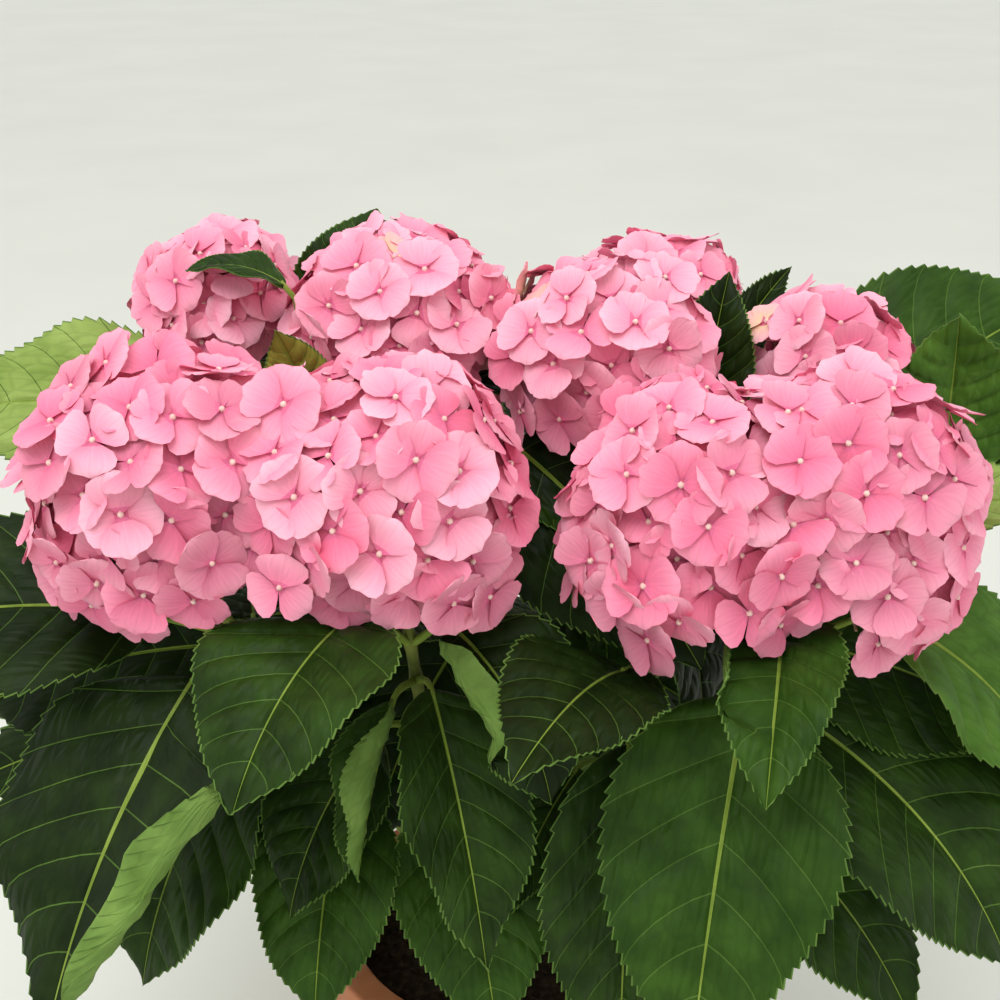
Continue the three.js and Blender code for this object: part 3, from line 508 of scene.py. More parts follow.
# %% Sizes of the pot and the limbs
POT_HEIGHT, POT_FOOT_RADIUS, POT_NECK_RADIUS, POT_RIM_RADIUS = 170, 78, 102, 113
POT_RIM_DEPTH, POT_WALL, POT_FLOOR, POT_EDGE = 36, 8, 10, 2.5
COMPOST_TOP, COMPOST_EDGE_DROP, COMPOST_FLAT_RADIUS = 148, 6, 62
BASE_HEIGHT, BASE_FOOT_RADIUS, BASE_TOP_RADIUS, BASE_LEAN = 34, 29, 17, (4, -3)
CANE_FOOT_RADIUS, CANE_TIP_RADIUS = 7, 5.2
CANE_FOOT_OUT, CANE_KNEE_OUT, CANE_KNEE_UP = 0.25, 0.75, 0.4
BOUGH_FOOT_RADIUS, BOUGH_END_RADIUS, STEM_TOP_RADIUS = 4.6, 3.9, 2.8
STEM_RISE, STEM_OUT, STALK_REACH, STALK_SUNK = 85, 0.18, 70, 0.25
BOUGH_END, STALK_START, FORK_STEP = 0.2, 0.86, 0.2
# How far a bloom leans outward for each millimetre from the middle, and the gap between solids that join
BLOOM_OUTWARD, GAP = 0.0016, 0.3
SEED_STEP = 7919
UP = np.array([0.0, 0.0, 1.0])
print("a pot of", POT_HEIGHT, "mm with canes of", 2 * CANE_FOOT_RADIUS, "mm")

# %% [markdown]
# Stems are Bezier curves. The point and the heading at any share of a curve come from halving lines
# between its control points, which works for any number of them. A seeded row of numbers stands in for
# chance, so the plant grows the same each time.

# %% Curves and seeded numbers
# The two numbers of a well-known row of random numbers
MULTIPLIER, MODULUS = 48271, 2147483647
CURVE_STEP = 0.001


def numbers_from(seed):
    """A seeded row of numbers from 0 to 1."""
    state = seed
    while True:
        state = state * MULTIPLIER % MODULUS
        yield state / MODULUS


def either_way(draw, spread):
    """A seeded step to one side or the other, of at most half a spread."""
    return (next(draw) - 0.5) * spread


def drawn(draw, least, spread):
    """A seeded value from the least one to a spread above it."""
    return least + spread * next(draw)


def unit(way):
    return way / np.linalg.norm(way)


def level_way(angle):
    return np.array([math.cos(angle), math.sin(angle), 0.0])


def angles_round(sides):
    return 2 * math.pi * np.arange(sides) / sides


def point_on(curve, share):
    """The point at a share of a Bezier curve, by halving the lines between its control points."""
    rows = np.array(curve, float)
    while len(rows) > 1:
        rows = rows[:-1] * (1 - share) + rows[1:] * share
    return rows[0]


def heading_on(curve, share):
    return unit(point_on(np.diff(np.array(curve, float), axis=0), share))


def further(curve, share, distance):
    """The share of a curve that lies a short distance further on."""
    ahead = point_on(curve, share + CURVE_STEP) - point_on(curve, share)
    return share + distance * CURVE_STEP / np.linalg.norm(ahead)


def cane_curve(cane):
    out = level_way(math.radians(cane["angle"])) * cane["reach"]
    foot = COMPOST_TOP + BASE_HEIGHT / 2
    return [
        out * CANE_FOOT_OUT + UP * foot,
        out * CANE_KNEE_OUT + UP * (foot + (cane["top"] - foot) * CANE_KNEE_UP),
        out + UP * cane["top"],
    ]


def bloom_axis(shoot):
    x, y, _ = shoot["bloom"]
    return unit(np.array([x * BLOOM_OUTWARD, y * BLOOM_OUTWARD, 1.0]))


def shoot_curve(shoot):
    """A shoot's curve, from its cane up into the middle of its bloom."""
    order = [s["name"] for s in SHOOTS if s["cane"] == shoot["cane"]].index(shoot["name"])
    start = point_on(cane_curve(CANES[shoot["cane"]]), 1 - order * FORK_STEP)
    middle = np.array(shoot["bloom"], float)
    axis = bloom_axis(shoot)
    lean = (middle - start) * [1, 1, 0]
    return [
        start,
        start + lean * STEM_OUT + UP * STEM_RISE,
        middle - axis * (shoot["half"][1] + STALK_REACH),
        middle - axis * shoot["half"][1] * STALK_SUNK,
    ]


CURVES = {shoot["name"]: shoot_curve(shoot) for shoot in SHOOTS}
print("highest bloom at", max(shoot["bloom"][2] + shoot["half"][1] for shoot in SHOOTS), "mm")

# %% [markdown]
# A leaf's midrib bends evenly, like an arc, from its root to its tip. At any share of its length the
# blade has a direction along it, one across it and one square to it. A leaf could be modelled once and
# copied, but no two leaves bend the same. So a few functions are the whole shape of a leaf: the fitting
# below uses them with a few points, and the fine leaves with many.

# %% The shape of a leaf
LEAF_LENGTH, LEAF_GROWTH, LEAF_WIDTH_SHARE, LEAF_THICKNESS_SHARE = 145, (0.82, 1.04), 0.66, 0.017
INNER_LEAF_SHARE, INNER_LEAF_TURN = 0.72, -20
LEAF_STALK_LENGTH, LEAF_STALK_RADIUS, LEAF_STALK_END_RADIUS, LEAF_STALK_LIFT = 30, 2.3, 1.95, 20
LEAF_PITCH, LEAF_PITCH_STEP, LEAF_CURL, LEAF_FOLD = -14, -11, 44, 12
LEAF_WANDER, LEAF_DROOP, LEAF_TILT = 20, 16, 24
BLADE_WIDEST, BLADE_ROUNDING, BLADE_STATIONS = 0.72, 0.85, [0.16, 0.45, 0.77]
LEAF_ANGLES = ["azimuth", "pitch", "curl", "roll", "fold", "lift", "swing"]


def leaf_frame(leaf, share):
    """Directions along, across and square to the blade, at one share of its length or at many."""
    rise = (leaf["pitch"] + leaf["curl"] * (0.5 - np.asarray(share, float)))[..., None]
    out = level_way(leaf["azimuth"])
    level = np.array([-out[1], out[0], 0.0])
    upright = UP * np.cos(rise) - out * np.sin(rise)
    turn, lean = math.cos(leaf["roll"]), math.sin(leaf["roll"])
    along = out * np.cos(rise) + UP * np.sin(rise)
    return along, level * turn + upright * lean, upright * turn - level * lean


def midrib(leaf, share):
    start = leaf["pitch"] + leaf["curl"] * 0.5
    now = start - leaf["curl"] * np.asarray(share, float)
    out = (leaf["length"] * (math.sin(start) - np.sin(now)) / leaf["curl"])[..., None]
    up = (leaf["length"] * (np.cos(now) - math.cos(start)) / leaf["curl"])[..., None]
    return leaf["root"] + level_way(leaf["azimuth"]) * out + UP * up


def half_width(leaf, share):
    """Half the blade's width: widest below the middle, pointed at the tip."""
    swell = np.clip(np.sin(math.pi * np.asarray(share, float) ** BLADE_WIDEST), 0, 1)
    return leaf["length"] * leaf["share"] * 0.5 * swell ** BLADE_ROUNDING


def blade_point(leaf, share, side):
    _, across, square = leaf_frame(leaf, share)
    wide = (half_width(leaf, share) * side)[..., None]
    sideways = across * wide * math.cos(leaf["fold"])
    return midrib(leaf, share) + sideways + square * abs(wide) * math.sin(leaf["fold"])


def leaf_from(shoot, stem, usual, note):
    """A leaf with its usual measures, changed where a note says so, and its angles in radians."""
    leaf = {**usual, **note}
    leaf.update({key: math.radians(leaf[key]) for key in LEAF_ANGLES if key in leaf})
    return {"shoot": shoot["name"], "stem": stem, "noted": "azimuth" in note, **leaf}


def shoot_leaves(shoot, seed):
    """The leaves of one shoot, in opposite pairs, each pair square to the one below it."""
    draw = numbers_from(seed)
    leaves = []
    for pair, place in enumerate(shoot.get("places", PAIR_PLACES)):
        stem = point_on(CURVES[shoot["name"]], place)
        for side in "ab":
            note = shoot.get("notes", {}).get(f"{pair}{side}", {})
            wander, droop = either_way(draw, LEAF_WANDER), either_way(draw, LEAF_DROOP)
            growth = LEAF_GROWTH[0] + next(draw) * (LEAF_GROWTH[1] - LEAF_GROWTH[0])
            tilt = either_way(draw, LEAF_TILT)
            azimuth = note.get("azimuth", shoot["turn"] + 90 * pair + (0 if side == "a" else 180) + wander)
            outward = math.cos(math.radians(azimuth)) * stem[0] + math.sin(math.radians(azimuth)) * stem[1]
            size = growth * (INNER_LEAF_SHARE if outward < INNER_LEAF_TURN else 1)
            usual = {
                "azimuth": azimuth, "pitch": LEAF_PITCH + LEAF_PITCH_STEP * pair + droop, "roll": tilt,
                "length": LEAF_LENGTH * size, "share": LEAF_WIDTH_SHARE, "curl": LEAF_CURL,
                "fold": LEAF_FOLD, "stalk": LEAF_STALK_LENGTH, "lift": LEAF_STALK_LIFT,
            }
            leaves.append(leaf_from(shoot, stem, usual, note))
    return leaves


ALL_LEAVES = [leaf for i, shoot in enumerate(SHOOTS) for leaf in shoot_leaves(shoot, SEED_STEP * (i + 1))]
print(len(ALL_LEAVES), "leaves before fitting")

# %% [markdown]
# Limbs could be curves with a bevel, but then their relief could not follow the bark. So every limb,
# stalk, pot and bead is a skin over rings: a row of rings closed by a point at both ends. One helper
# makes them all. It works out the skin's volume, and turns the faces round where that is negative.

# %% Skins over rings


def skin(rings, start, end):
    """Points and faces of a closed skin over rings, with a point at each end."""
    count, around = rings.shape[:2]
    points = np.concatenate([[start], rings.reshape(-1, 3), [end]])
    k = np.arange(around)
    nxt = (k + 1) % around
    first, last = 1, 1 + (count - 1) * around
    caps = [
        np.stack([np.zeros_like(k), first + k, first + nxt], 1),
        np.stack([last + k, np.full_like(k, len(points) - 1), last + nxt], 1),
    ]
    rows = 1 + np.arange(count - 1)[:, None] * around
    quads = np.stack([rows + k, rows + around + k, rows + around + nxt, rows + nxt], 2).reshape(-1, 4)
    corners = np.concatenate([caps[0], caps[1], quads[:, [0, 1, 2]], quads[:, [0, 2, 3]]])
    a, b, c = (points[corners[:, i]] - start for i in range(3))
    if np.einsum("ij,ij->i", a, np.cross(b, c)).sum() < 0:
        caps = [cap[:, ::-1] for cap in caps]
        quads = quads[:, ::-1]
    return points, caps, quads


def ring_round(middle, way, radius, sides, relief=None):
    """A ring of points square to a way, its first point on the side towards +X."""
    side = unit(np.array([1.0, 0.0, 0.0]) - way * way[0])
    across = np.cross(side, way)
    angles = angles_round(sides)
    wide = radius if relief is None else radius * (1 + relief(angles))
    return middle + np.outer(np.sin(angles) * wide, side) + np.outer(np.cos(angles) * wide, across)


def limb_skin(curve, start, end, start_radius, end_radius, segments, sides=6):
    """A tapering limb with flat ends."""
    shares = [start + (end - start) * i / segments for i in range(segments + 1)]
    radii = [start_radius + (end_radius - start_radius) * i / segments for i in range(segments + 1)]
    rings = [ring_round(point_on(curve, t), heading_on(curve, t), r, sides) for t, r in zip(shares, radii)]
    return skin(np.array(rings), point_on(curve, start), point_on(curve, end))


trial_limb = limb_skin(cane_curve(CANES["middle"]), 0, 1, CANE_FOOT_RADIUS, CANE_TIP_RADIUS, segments=4)
print("a limb of four stretches has", len(trial_limb[0]), "points")

# %% [markdown]
# The leaves have to share the room between the stems, as real ones do. Each leaf is tried in its own
# direction, as a plain blade with a little room round it. Where that touches a limb, a bloom's core or
# an earlier leaf, the leaf dips, turns or shrinks until it is clear, or is left off. Blender's BVH
# trees find quickly whether two meshes touch. This is the rule that placed the frame's own leaves, so
# the fine leaves come where their solids are.

# %% Solids that leaves keep clear of
LEAF_ROOM = 1.5
# The corners of a leaf's rings, across it and square to it
RING_SIDES = np.array([[-1, 0], [0, 1], [1, 0], [0, -1]])


class Obstacle:
    """A skin that others are kept clear of: its box, its tree of faces, and the shoot it is part of."""

    def __init__(self, shape, shoot=""):
        points, caps, quads = shape
        faces = np.concatenate([caps[0], caps[1], quads[:, [0, 1, 3]], quads[:, [1, 2, 3]]])
        self.low, self.high, self.shoot = points.min(0), points.max(0), shoot
        self.tree = BVHTree.FromPolygons(points.tolist(), faces.tolist())

    def touches(self, other):
        if (self.low > other.high).any() or (other.low > self.high).any():
            return False
        return bool(self.tree.overlap(other.tree))


def plain_blade(leaf):
    """The blade as a lens of four-cornered rings, with room added round it."""
    stations = np.array(BLADE_STATIONS)
    _, across, square = leaf_frame(leaf, stations)
    thick = leaf["length"] * LEAF_THICKNESS_SHARE * 0.5 + LEAF_ROOM
    rings = np.stack([
        blade_point(leaf, stations, side) + square * (lift * thick) + across * (side * LEAF_ROOM)
        for side, lift in RING_SIDES
    ], 1)
    return skin(rings, midrib(leaf, 0), midrib(leaf, 1))


def plain_leaf(leaf):
    """A leaf in one piece: its stalk runs on into the midrib of the blade."""
    thick = leaf["length"] * LEAF_THICKNESS_SHARE * 0.5
    along, start_across, _ = leaf_frame(leaf, 0)
    way = unit(leaf["root"] - leaf["stem"])

    def stalk_ring(middle, heading, radius):
        across = unit(start_across - heading * start_across.dot(heading))
        square = np.cross(heading, across)
        return [middle + across * side * radius + square * lift * radius for side, lift in RING_SIDES]

    rings = [
        stalk_ring(leaf["stem"] + way * LEAF_STALK_RADIUS, way, LEAF_STALK_RADIUS),
        stalk_ring(leaf["root"], unit(way + along), LEAF_STALK_END_RADIUS),
    ]
    for s in BLADE_STATIONS:
        square = leaf_frame(leaf, s)[2]
        rings.append([blade_point(leaf, s, side) + square * lift * thick for side, lift in RING_SIDES])
    return skin(np.array(rings), leaf["stem"], midrib(leaf, 1))


print("leaves keep", LEAF_ROOM, "mm of room round them")

# %% [markdown]
# A person would bend a leaf aside by hand until it fits. The rule does the same in fixed steps: it
# dips and turns the leaf a little, then tries a smaller one. The first try that touches nothing is
# kept, so the result depends on nothing but the order of the leaves.

# %% Trying a leaf
LEAF_SIZES = [1, 0.7]
LEAF_TRIES = [(dip, turn) for dip in (0, -10, 10, -20, 20, -30) for turn in (0, 12, -12, 24, -24)]
obstacles, LEAVES = [], []


def fit_leaf(leaf):
    """The leaf in the first of its tries that is clear of the obstacles, or nothing."""
    for size in LEAF_SIZES:
        for dip, turn in LEAF_TRIES:
            tried = {**leaf, "length": leaf["length"] * size}
            tried["pitch"] += math.radians(dip)
            tried["azimuth"] += math.radians(turn)
            out = level_way(leaf.get("swing", tried["azimuth"]))
            tried["root"] = leaf["stem"] + out * leaf["stalk"] * math.cos(leaf["lift"])
            tried["root"] = tried["root"] + UP * leaf["stalk"] * math.sin(leaf["lift"])
            blade, line = Obstacle(plain_blade(tried)), [leaf["stem"], tried["root"]]
            stalk = Obstacle(limb_skin(line, 0, 1, LEAF_STALK_RADIUS, LEAF_STALK_RADIUS, segments=1))
            others = (o for o in obstacles if o.shoot != leaf["shoot"])
            if not any(blade.touches(o) for o in obstacles) and not any(stalk.touches(o) for o in others):
                return tried
    return None


def stand(shape, shoot=""):
    """Adds a skin to what leaves keep clear of."""
    obstacles.append(Obstacle(shape, shoot))


def settle(leaf):
    """Fits a leaf and, where it finds room, keeps it and adds it to what the next ones keep clear of."""
    fitted = fit_leaf(leaf)
    if fitted is not None:
        stand(plain_leaf(fitted), leaf["shoot"])
        LEAVES.append(fitted)


print("each leaf has", len(LEAF_SIZES) * len(LEAF_TRIES), "ways to try")

# %% [markdown]
# A bloom's florets sit on a round core, and the pot and the compost are turned shapes. A ball and a
# cylinder would be near, but a bloom has fuller shoulders than a ball. So the core is a few rings on a
# swollen ellipsoid, and a lathe gives a ring for each radius and height of a profile.

# %% Cores and turned shapes
FLORET_RADIUS, BLOOM_FULLNESS, CORE_DEPTH, CORE_UNDERSIDE_SHARE = 25, 2.5, 10, 0.8
CORE_SIDES, CORE_RINGS = 8, 5


def fullness(way):
    """How far a bloom reaches in a direction, as a share of an ellipsoid: its shoulders are fuller."""
    flat = np.hypot(way[..., 0], way[..., 1])
    return (flat ** BLOOM_FULLNESS + abs(way[..., 2]) ** BLOOM_FULLNESS) ** (-1 / BLOOM_FULLNESS)


def bloom_core(shoot):
    """Middle, half width and half height of the surface that a bloom's core fills."""
    wide, high = (math.sqrt(reach ** 2 - FLORET_RADIUS ** 2) - CORE_DEPTH for reach in shoot["half"])
    return np.array(shoot["bloom"], float), wide, high


def core_skin(shoot):
    middle, wide, high = bloom_core(shoot)
    rings = []
    for i in range(1, CORE_RINGS):
        down = math.pi * i / CORE_RINGS
        around = angles_round(CORE_SIDES)
        way = np.stack([-np.cos(around) * math.sin(down), -np.sin(around) * math.sin(down),
                        np.full(CORE_SIDES, math.cos(down))], 1)
        tall = high * (CORE_UNDERSIDE_SHARE if math.cos(down) < 0 else 1)
        rings.append(middle + way * [wide, wide, tall] * fullness(way)[:, None])
    return skin(np.array(rings), middle + UP * high, middle - UP * high * CORE_UNDERSIDE_SHARE)


def lathe_rings(profile, sides):
    """Rings of a turned shape, one for each radius and height of its profile."""
    around = angles_round(sides)
    return np.array([
        np.stack([np.sin(around) * radius, -np.cos(around) * radius, np.full(sides, float(height))], 1)
        for radius, height in profile
    ])


def inner_radius(height):
    """Radius of the pot's inner wall at a height."""
    foot, rim = POT_FOOT_RADIUS - POT_WALL, POT_NECK_RADIUS - POT_WALL
    return foot + (rim - foot) * (height - POT_FLOOR) / (POT_HEIGHT - POT_FLOOR)


shoulder = fullness(unit(np.array([1.0, 0.0, 1.0])))
print("a bloom reaches", round(float(shoulder), 3), "of its radius at its shoulder")

# %% [markdown]
# Everything that stands still goes in first: the pot, the compost, the canes, then each shoot's stem and
# bloom. Last come the leaves, those with notes before the rest, as in the frame.

# %% Fitting the leaves
PLAIN_SIDES = 24
neck = POT_HEIGHT - POT_RIM_DEPTH
POT_PROFILE = [
    (POT_FOOT_RADIUS - POT_EDGE, 0), (POT_FOOT_RADIUS, POT_EDGE), (POT_NECK_RADIUS, neck),
    (POT_RIM_RADIUS - POT_EDGE, neck), (POT_RIM_RADIUS, POT_HEIGHT - POT_EDGE),
    (POT_RIM_RADIUS - POT_EDGE, POT_HEIGHT), (inner_radius(POT_HEIGHT), POT_HEIGHT),
    (inner_radius(POT_FLOOR), POT_FLOOR),
]
stand(skin(lathe_rings(POT_PROFILE, PLAIN_SIDES), UP * 0, UP * POT_FLOOR))
edge = COMPOST_TOP - COMPOST_EDGE_DROP
COMPOST_PROFILE = [
    (inner_radius(POT_FLOOR + GAP) - GAP, POT_FLOOR + GAP), (inner_radius(edge) - GAP, edge),
    (COMPOST_FLAT_RADIUS, COMPOST_TOP),
]
compost_rings = lathe_rings(COMPOST_PROFILE, PLAIN_SIDES)
stand(skin(compost_rings, UP * (POT_FLOOR + GAP), UP * COMPOST_TOP))
for cane in CANES.values():
    stand(limb_skin(cane_curve(cane), 0, 1, CANE_FOOT_RADIUS, CANE_TIP_RADIUS, segments=3))
for shoot in SHOOTS:
    curve = CURVES[shoot["name"]]
    foot, top = further(curve, BOUGH_END, GAP), further(curve, STALK_START, GAP)
    stand(limb_skin(curve, 0, BOUGH_END, BOUGH_FOOT_RADIUS, BOUGH_END_RADIUS, segments=2))
    stand(limb_skin(curve, foot, STALK_START, BOUGH_END_RADIUS, STEM_TOP_RADIUS, segments=4), shoot["name"])
    stand(limb_skin(curve, top, 1, STEM_TOP_RADIUS, STEM_TOP_RADIUS, segments=1), shoot["name"])
    stand(core_skin(shoot))

for noted in (True, False):
    for leaf in (each for each in ALL_LEAVES if each["noted"] == noted):
        settle(leaf)
print(len(LEAVES), "of", len(ALL_LEAVES), "leaves fitted")

# %% [markdown]
# Right under its bloom each shoot carries one more pair of small leaves, too small for the frame's
# plain solids. They are fitted in the same way. A few late leaves have pushed up or hang down between
# the blooms where the light let them, and no rule says where. So each is listed by its root, its tip and
# the way its face turns.

# %% Small and late leaves
SMALL_PLACE, SMALL_LENGTH, SMALL_GROWTH, SMALL_PITCH, SMALL_CURL = 0.92, 64, (0.85, 0.3), 4, 56
SMALL_SHARE, SMALL_FOLD, SMALL_LIFT, SMALL_STALK, LATE_STALK = 0.56, 16, 20, 12, 40
SMALL_TURN, SMALL_SEED_START = 45, 70


def small_pair(shoot, seed):
    draw = numbers_from(seed)
    stem = point_on(CURVES[shoot["name"]], SMALL_PLACE)
    return [leaf_from(shoot, stem, {
        "azimuth": shoot["turn"] + SMALL_TURN + side + either_way(draw, LEAF_WANDER),
        "pitch": SMALL_PITCH + either_way(draw, LEAF_DROOP), "curl": SMALL_CURL, "stalk": SMALL_STALK,
        "length": SMALL_LENGTH * drawn(draw, *SMALL_GROWTH), "roll": either_way(draw, LEAF_TILT),
        "share": SMALL_SHARE, "fold": SMALL_FOLD, "lift": SMALL_LIFT,
    }, {}) for side in (0, 180)]


def late_leaf(shoot, place, root, tip, facing, curl, share, fold, shade, open_mm):
    """A leaf from its root to its tip, with its upper side towards a given way."""
    root, tip = np.array(root, float), np.array(tip, float)
    chord = np.linalg.norm(tip - root)
    along = (tip - root) / chord
    azimuth, curl = math.atan2(along[1], along[0]), math.radians(curl)
    level = np.array([-math.sin(azimuth), math.cos(azimuth), 0.0])
    upright = np.cross(along, level)
    across = np.cross(np.array(facing, float), along)
    return {
        "shoot": shoot, "stem": point_on(CURVES[shoot], place), "root": root,
        "azimuth": azimuth, "pitch": math.asin(along[2]), "curl": curl, "share": share,
        "length": chord * (curl / 2) / math.sin(curl / 2), "fold": math.radians(fold), "shade": shade,
        "roll": math.atan2(across.dot(upright), across.dot(level)), "stalk": LATE_STALK, "open": open_mm,
    }


for i, shoot in enumerate(SHOOTS):
    for leaf in small_pair(shoot, SEED_STEP * (i + SMALL_SEED_START)):
        settle(leaf)
# Shoot and share of its stem, root, tip, facing, curl, width share, fold, shade, room to florets
LATE_LEAVES = [
    ("right_middle_inner", 0.86, (113, 17, 496), (126, 41, 584), (-0.2, -0.9, 0.2), 26, 0.6, 26, 0, 15),
    ("right_back_inner", 0.86, (117, 45, 505), (170, 87, 574), (0, -0.8, 0.5), 30, 0.36, 26, 0, 13),
    ("left_middle_outer", 0.86, (-113, 6, 586), (-166, 12, 592), (0, -0.15, 1), 60, 0.5, 14, 1, 12),
    ("left_front_inner", 0.86, (-96, -40, 514), (-111, -50, 580), (0, -0.85, 0.5), 24, 0.66, 14, 5, 15),
    ("left_middle_inner", 0.86, (-84, 92, 522), (-72, 110, 602), (0, -0.8, 0.4), 50, 0.95, 10, 1, 12),
    ("right_middle_inner", 0.8, (6, -22, 508), (103, -98, 414), (-0.1, -0.9, 0.45), 30, 0.72, 8, 0, 12),
    ("right_middle_outer", 0.7, (196, -40, 468), (292, -66, 494), (0, -0.4, 0.9), 30, 0.52, 14, 4, 12),
    ("right_middle_outer", 0.8, (248, 12, 474), (240, -6, 573), (-0.15, -0.85, 0.5), 30, 0.84, 12, 3, 12),
    ("left_front_outer", 0.6, (-142, -68, 411), (-285, -61, 367), (0.05, -0.8, 0.6), 30, 0.74, 12, 0, 12),
    ("left_front_outer", 0.86, (-160, -32, 522), (-206, -64, 563), (-0.1, -0.5, 0.8), 30, 0.62, 14, 1, 12),
    ("left_middle_inner", 0.6, (-20, -30, 396), (-72, -72, 284), (0, -0.9, 0.5), 30, 0.7, 10, 0, 12),
    ("right_front_outer", 0.6, (150, -70, 415), (285, -80, 360), (0, -0.7, 0.7), 30, 0.66, 12, 1, 12),
    ("left_front_outer", 0.45, (-140, -30, 340), (-320, -30, 290), (0, -0.7, 0.7), 30, 0.5, 12, 0, 12),
]
LEAVES += [late_leaf(*row) for row in LATE_LEAVES]
print(len(LEAVES), "leaves with the small and late ones")

# %% [markdown]
# Leaves and florets could each be an object, but a plant of a thousand objects is slow to carry about.
# So each kind is joined into a few pieces. A heap gathers the points of many shapes, their faces and the
# material of each face, and makes one mesh of them.

# %% Heaps of shapes
SHARP_ANGLE = math.radians(55)


class Heap:
    """Gathers the points and faces of many shapes for one mesh."""

    def __init__(self):
        self.points, self.maps, self.corners, self.sizes, self.slots, self.count = [], [], [], [], [], 0

    def add(self, points, groups, flat=None):
        """Adds points with their place on a flat map, and groups of faces with their slots."""
        for faces, slot in groups:
            self.corners.append((faces + self.count).ravel())
            self.sizes.append(np.full(len(faces), faces.shape[1]))
            self.slots.append(np.broadcast_to(slot, len(faces)))
        self.points.append(points)
        self.maps.append(np.zeros((len(points), 2)) if flat is None else flat)
        self.count += len(points)

    def add_skin(self, shape, slot):
        points, caps, quads = shape
        self.add(points, [(caps[0], slot), (caps[1], slot), (quads, slot)])

    def mesh(self, name, materials):
        mesh = bpy.data.meshes.new(name)
        points, corners = np.concatenate(self.points) * MM, np.concatenate(self.corners)
        sizes = np.concatenate(self.sizes)
        mesh.vertices.add(len(points))
        mesh.vertices.foreach_set("co", points.ravel())
        mesh.loops.add(len(corners))
        mesh.loops.foreach_set("vertex_index", corners)
        mesh.polygons.add(len(sizes))
        mesh.polygons.foreach_set("loop_start", np.cumsum(sizes) - sizes)
        mesh.polygons.foreach_set("material_index", np.concatenate(self.slots))
        for material in materials:
            mesh.materials.append(material)
        mesh.update(calc_edges=True)
        flat = np.concatenate(self.maps)[corners]
        mesh.uv_layers.new(name="UVMap").data.foreach_set("uv", flat.ravel())
        mesh.shade_smooth()
        mesh.set_sharp_from_angle(angle=SHARP_ANGLE)
        return mesh


trial = Heap()
trial.add_skin(trial_limb, 0)
print("a heap of one limb has", trial.count, "points")

# %% [markdown]
# Each finished piece rides on the plant's one body and replaces the plain solids that it stands for, so
# that they are hidden.

# %% Placing a piece


def triangles(mesh):
    return sum(len(face.vertices) - 2 for face in mesh.polygons)


def place_piece(name, mesh, nodes):
    """Puts a finished mesh at the origin, in place of the plain solids that it stands for."""
    piece = bpy.data.objects.new(name, mesh)
    scene.collection.objects.link(piece)
    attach(piece, "root")
    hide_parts(*nodes)
    print(f"{name}: {triangles(mesh):,} triangles for {len(nodes)} solids")
    return piece


def place_heap(name, heap, materials, nodes):
    return place_piece(name, heap.mesh(name, materials), nodes)


# %% [markdown]
# A clay pot is thrown on a wheel: a tapering wall under a deeper rim. It could be a cylinder with a
# Bevel modifier, but a turned profile says directly where each edge lies and how round it is. The
# profile runs from the foot up the outside, over the rim and down the inside.

# %% The pot
POT_SIDES, POT_ROUNDING, ROUNDING_STEPS, CORNER_SHARE = 96, 3.0, 4, 0.45
NECK_IN, RIM_FOOT_IN, RIM_FOOT_RISE, FLAT_MIDDLE = 1, 1.5, 6, 12


def rounded(profile, radius):
    """A profile with each corner between its ends replaced by a short arc."""
    rows = [np.array(profile[0], float)]
    for before, corner, after in zip(profile, profile[1:], profile[2:]):
        before, corner, after = (np.array(p, float) for p in (before, corner, after))
        back, on = before - corner, after - corner
        reach = min(radius, np.linalg.norm(back) * CORNER_SHARE, np.linalg.norm(on) * CORNER_SHARE)
        start, end = corner + unit(back) * reach, corner + unit(on) * reach
        rows += [point_on([start, corner, end], i / ROUNDING_STEPS) for i in range(ROUNDING_STEPS + 1)]
    return rows + [np.array(profile[-1], float)]


turned = rounded([
    (POT_FOOT_RADIUS - FLAT_MIDDLE, 0), (POT_FOOT_RADIUS, 0), (POT_NECK_RADIUS - NECK_IN, neck),
    (POT_RIM_RADIUS - RIM_FOOT_IN, neck), (POT_RIM_RADIUS, neck + RIM_FOOT_RISE),
    (POT_RIM_RADIUS, POT_HEIGHT), (inner_radius(POT_HEIGHT), POT_HEIGHT),
    (inner_radius(POT_FLOOR), POT_FLOOR), (inner_radius(POT_FLOOR) - FLAT_MIDDLE, POT_FLOOR),
], POT_ROUNDING)
heap = Heap()
heap.add_skin(skin(lathe_rings(turned, POT_SIDES), UP * 0, UP * POT_FLOOR), 0)
place_heap("clay_pot", heap, [clay], ["pot"])

# %% [markdown]
# Potting compost settles in the pot as an uneven, crumbly surface. Bump alone would leave it flat where
# the light grazes it. So it is a turned shape that noise lifts and lowers by a millimetre or two, with
# loose crumbs of bark and peat on it.

# %% The compost
COMPOST_SIDES, LEVEL_MARGIN_MM = 72, 0.5
# Height and breadth of the surface's humps, in millimetres
HUMPS = [(1.6, 9), (0.7, 3.5)]
# Radius and height of each ring, from the pot's floor up and in to the middle
compost_profile = [
    (inner_radius(POT_FLOOR + GAP) - GAP, POT_FLOOR + GAP), (inner_radius(edge) - GAP, edge),
    (88, edge + 1), (80, edge + 2.5), (70, COMPOST_TOP - 1), (COMPOST_FLAT_RADIUS, COMPOST_TOP),
    (50, COMPOST_TOP), (38, COMPOST_TOP + 0.5), (26, COMPOST_TOP), (12, COMPOST_TOP),
]
compost_rings = lathe_rings(compost_profile, COMPOST_SIDES)
points, caps, quads = skin(compost_rings, UP * (POT_FLOOR + GAP), UP * COMPOST_TOP)
for point in points:
    if point[2] > edge + LEVEL_MARGIN_MM:
        point[2] += sum(high * noise.noise(Vector(point) / broad) for high, broad in HUMPS)
heap = Heap()
heap.add_skin((points, caps, quads), 0)
compost_piece = place_heap("compost_surface", heap, [peat], ["compost"])

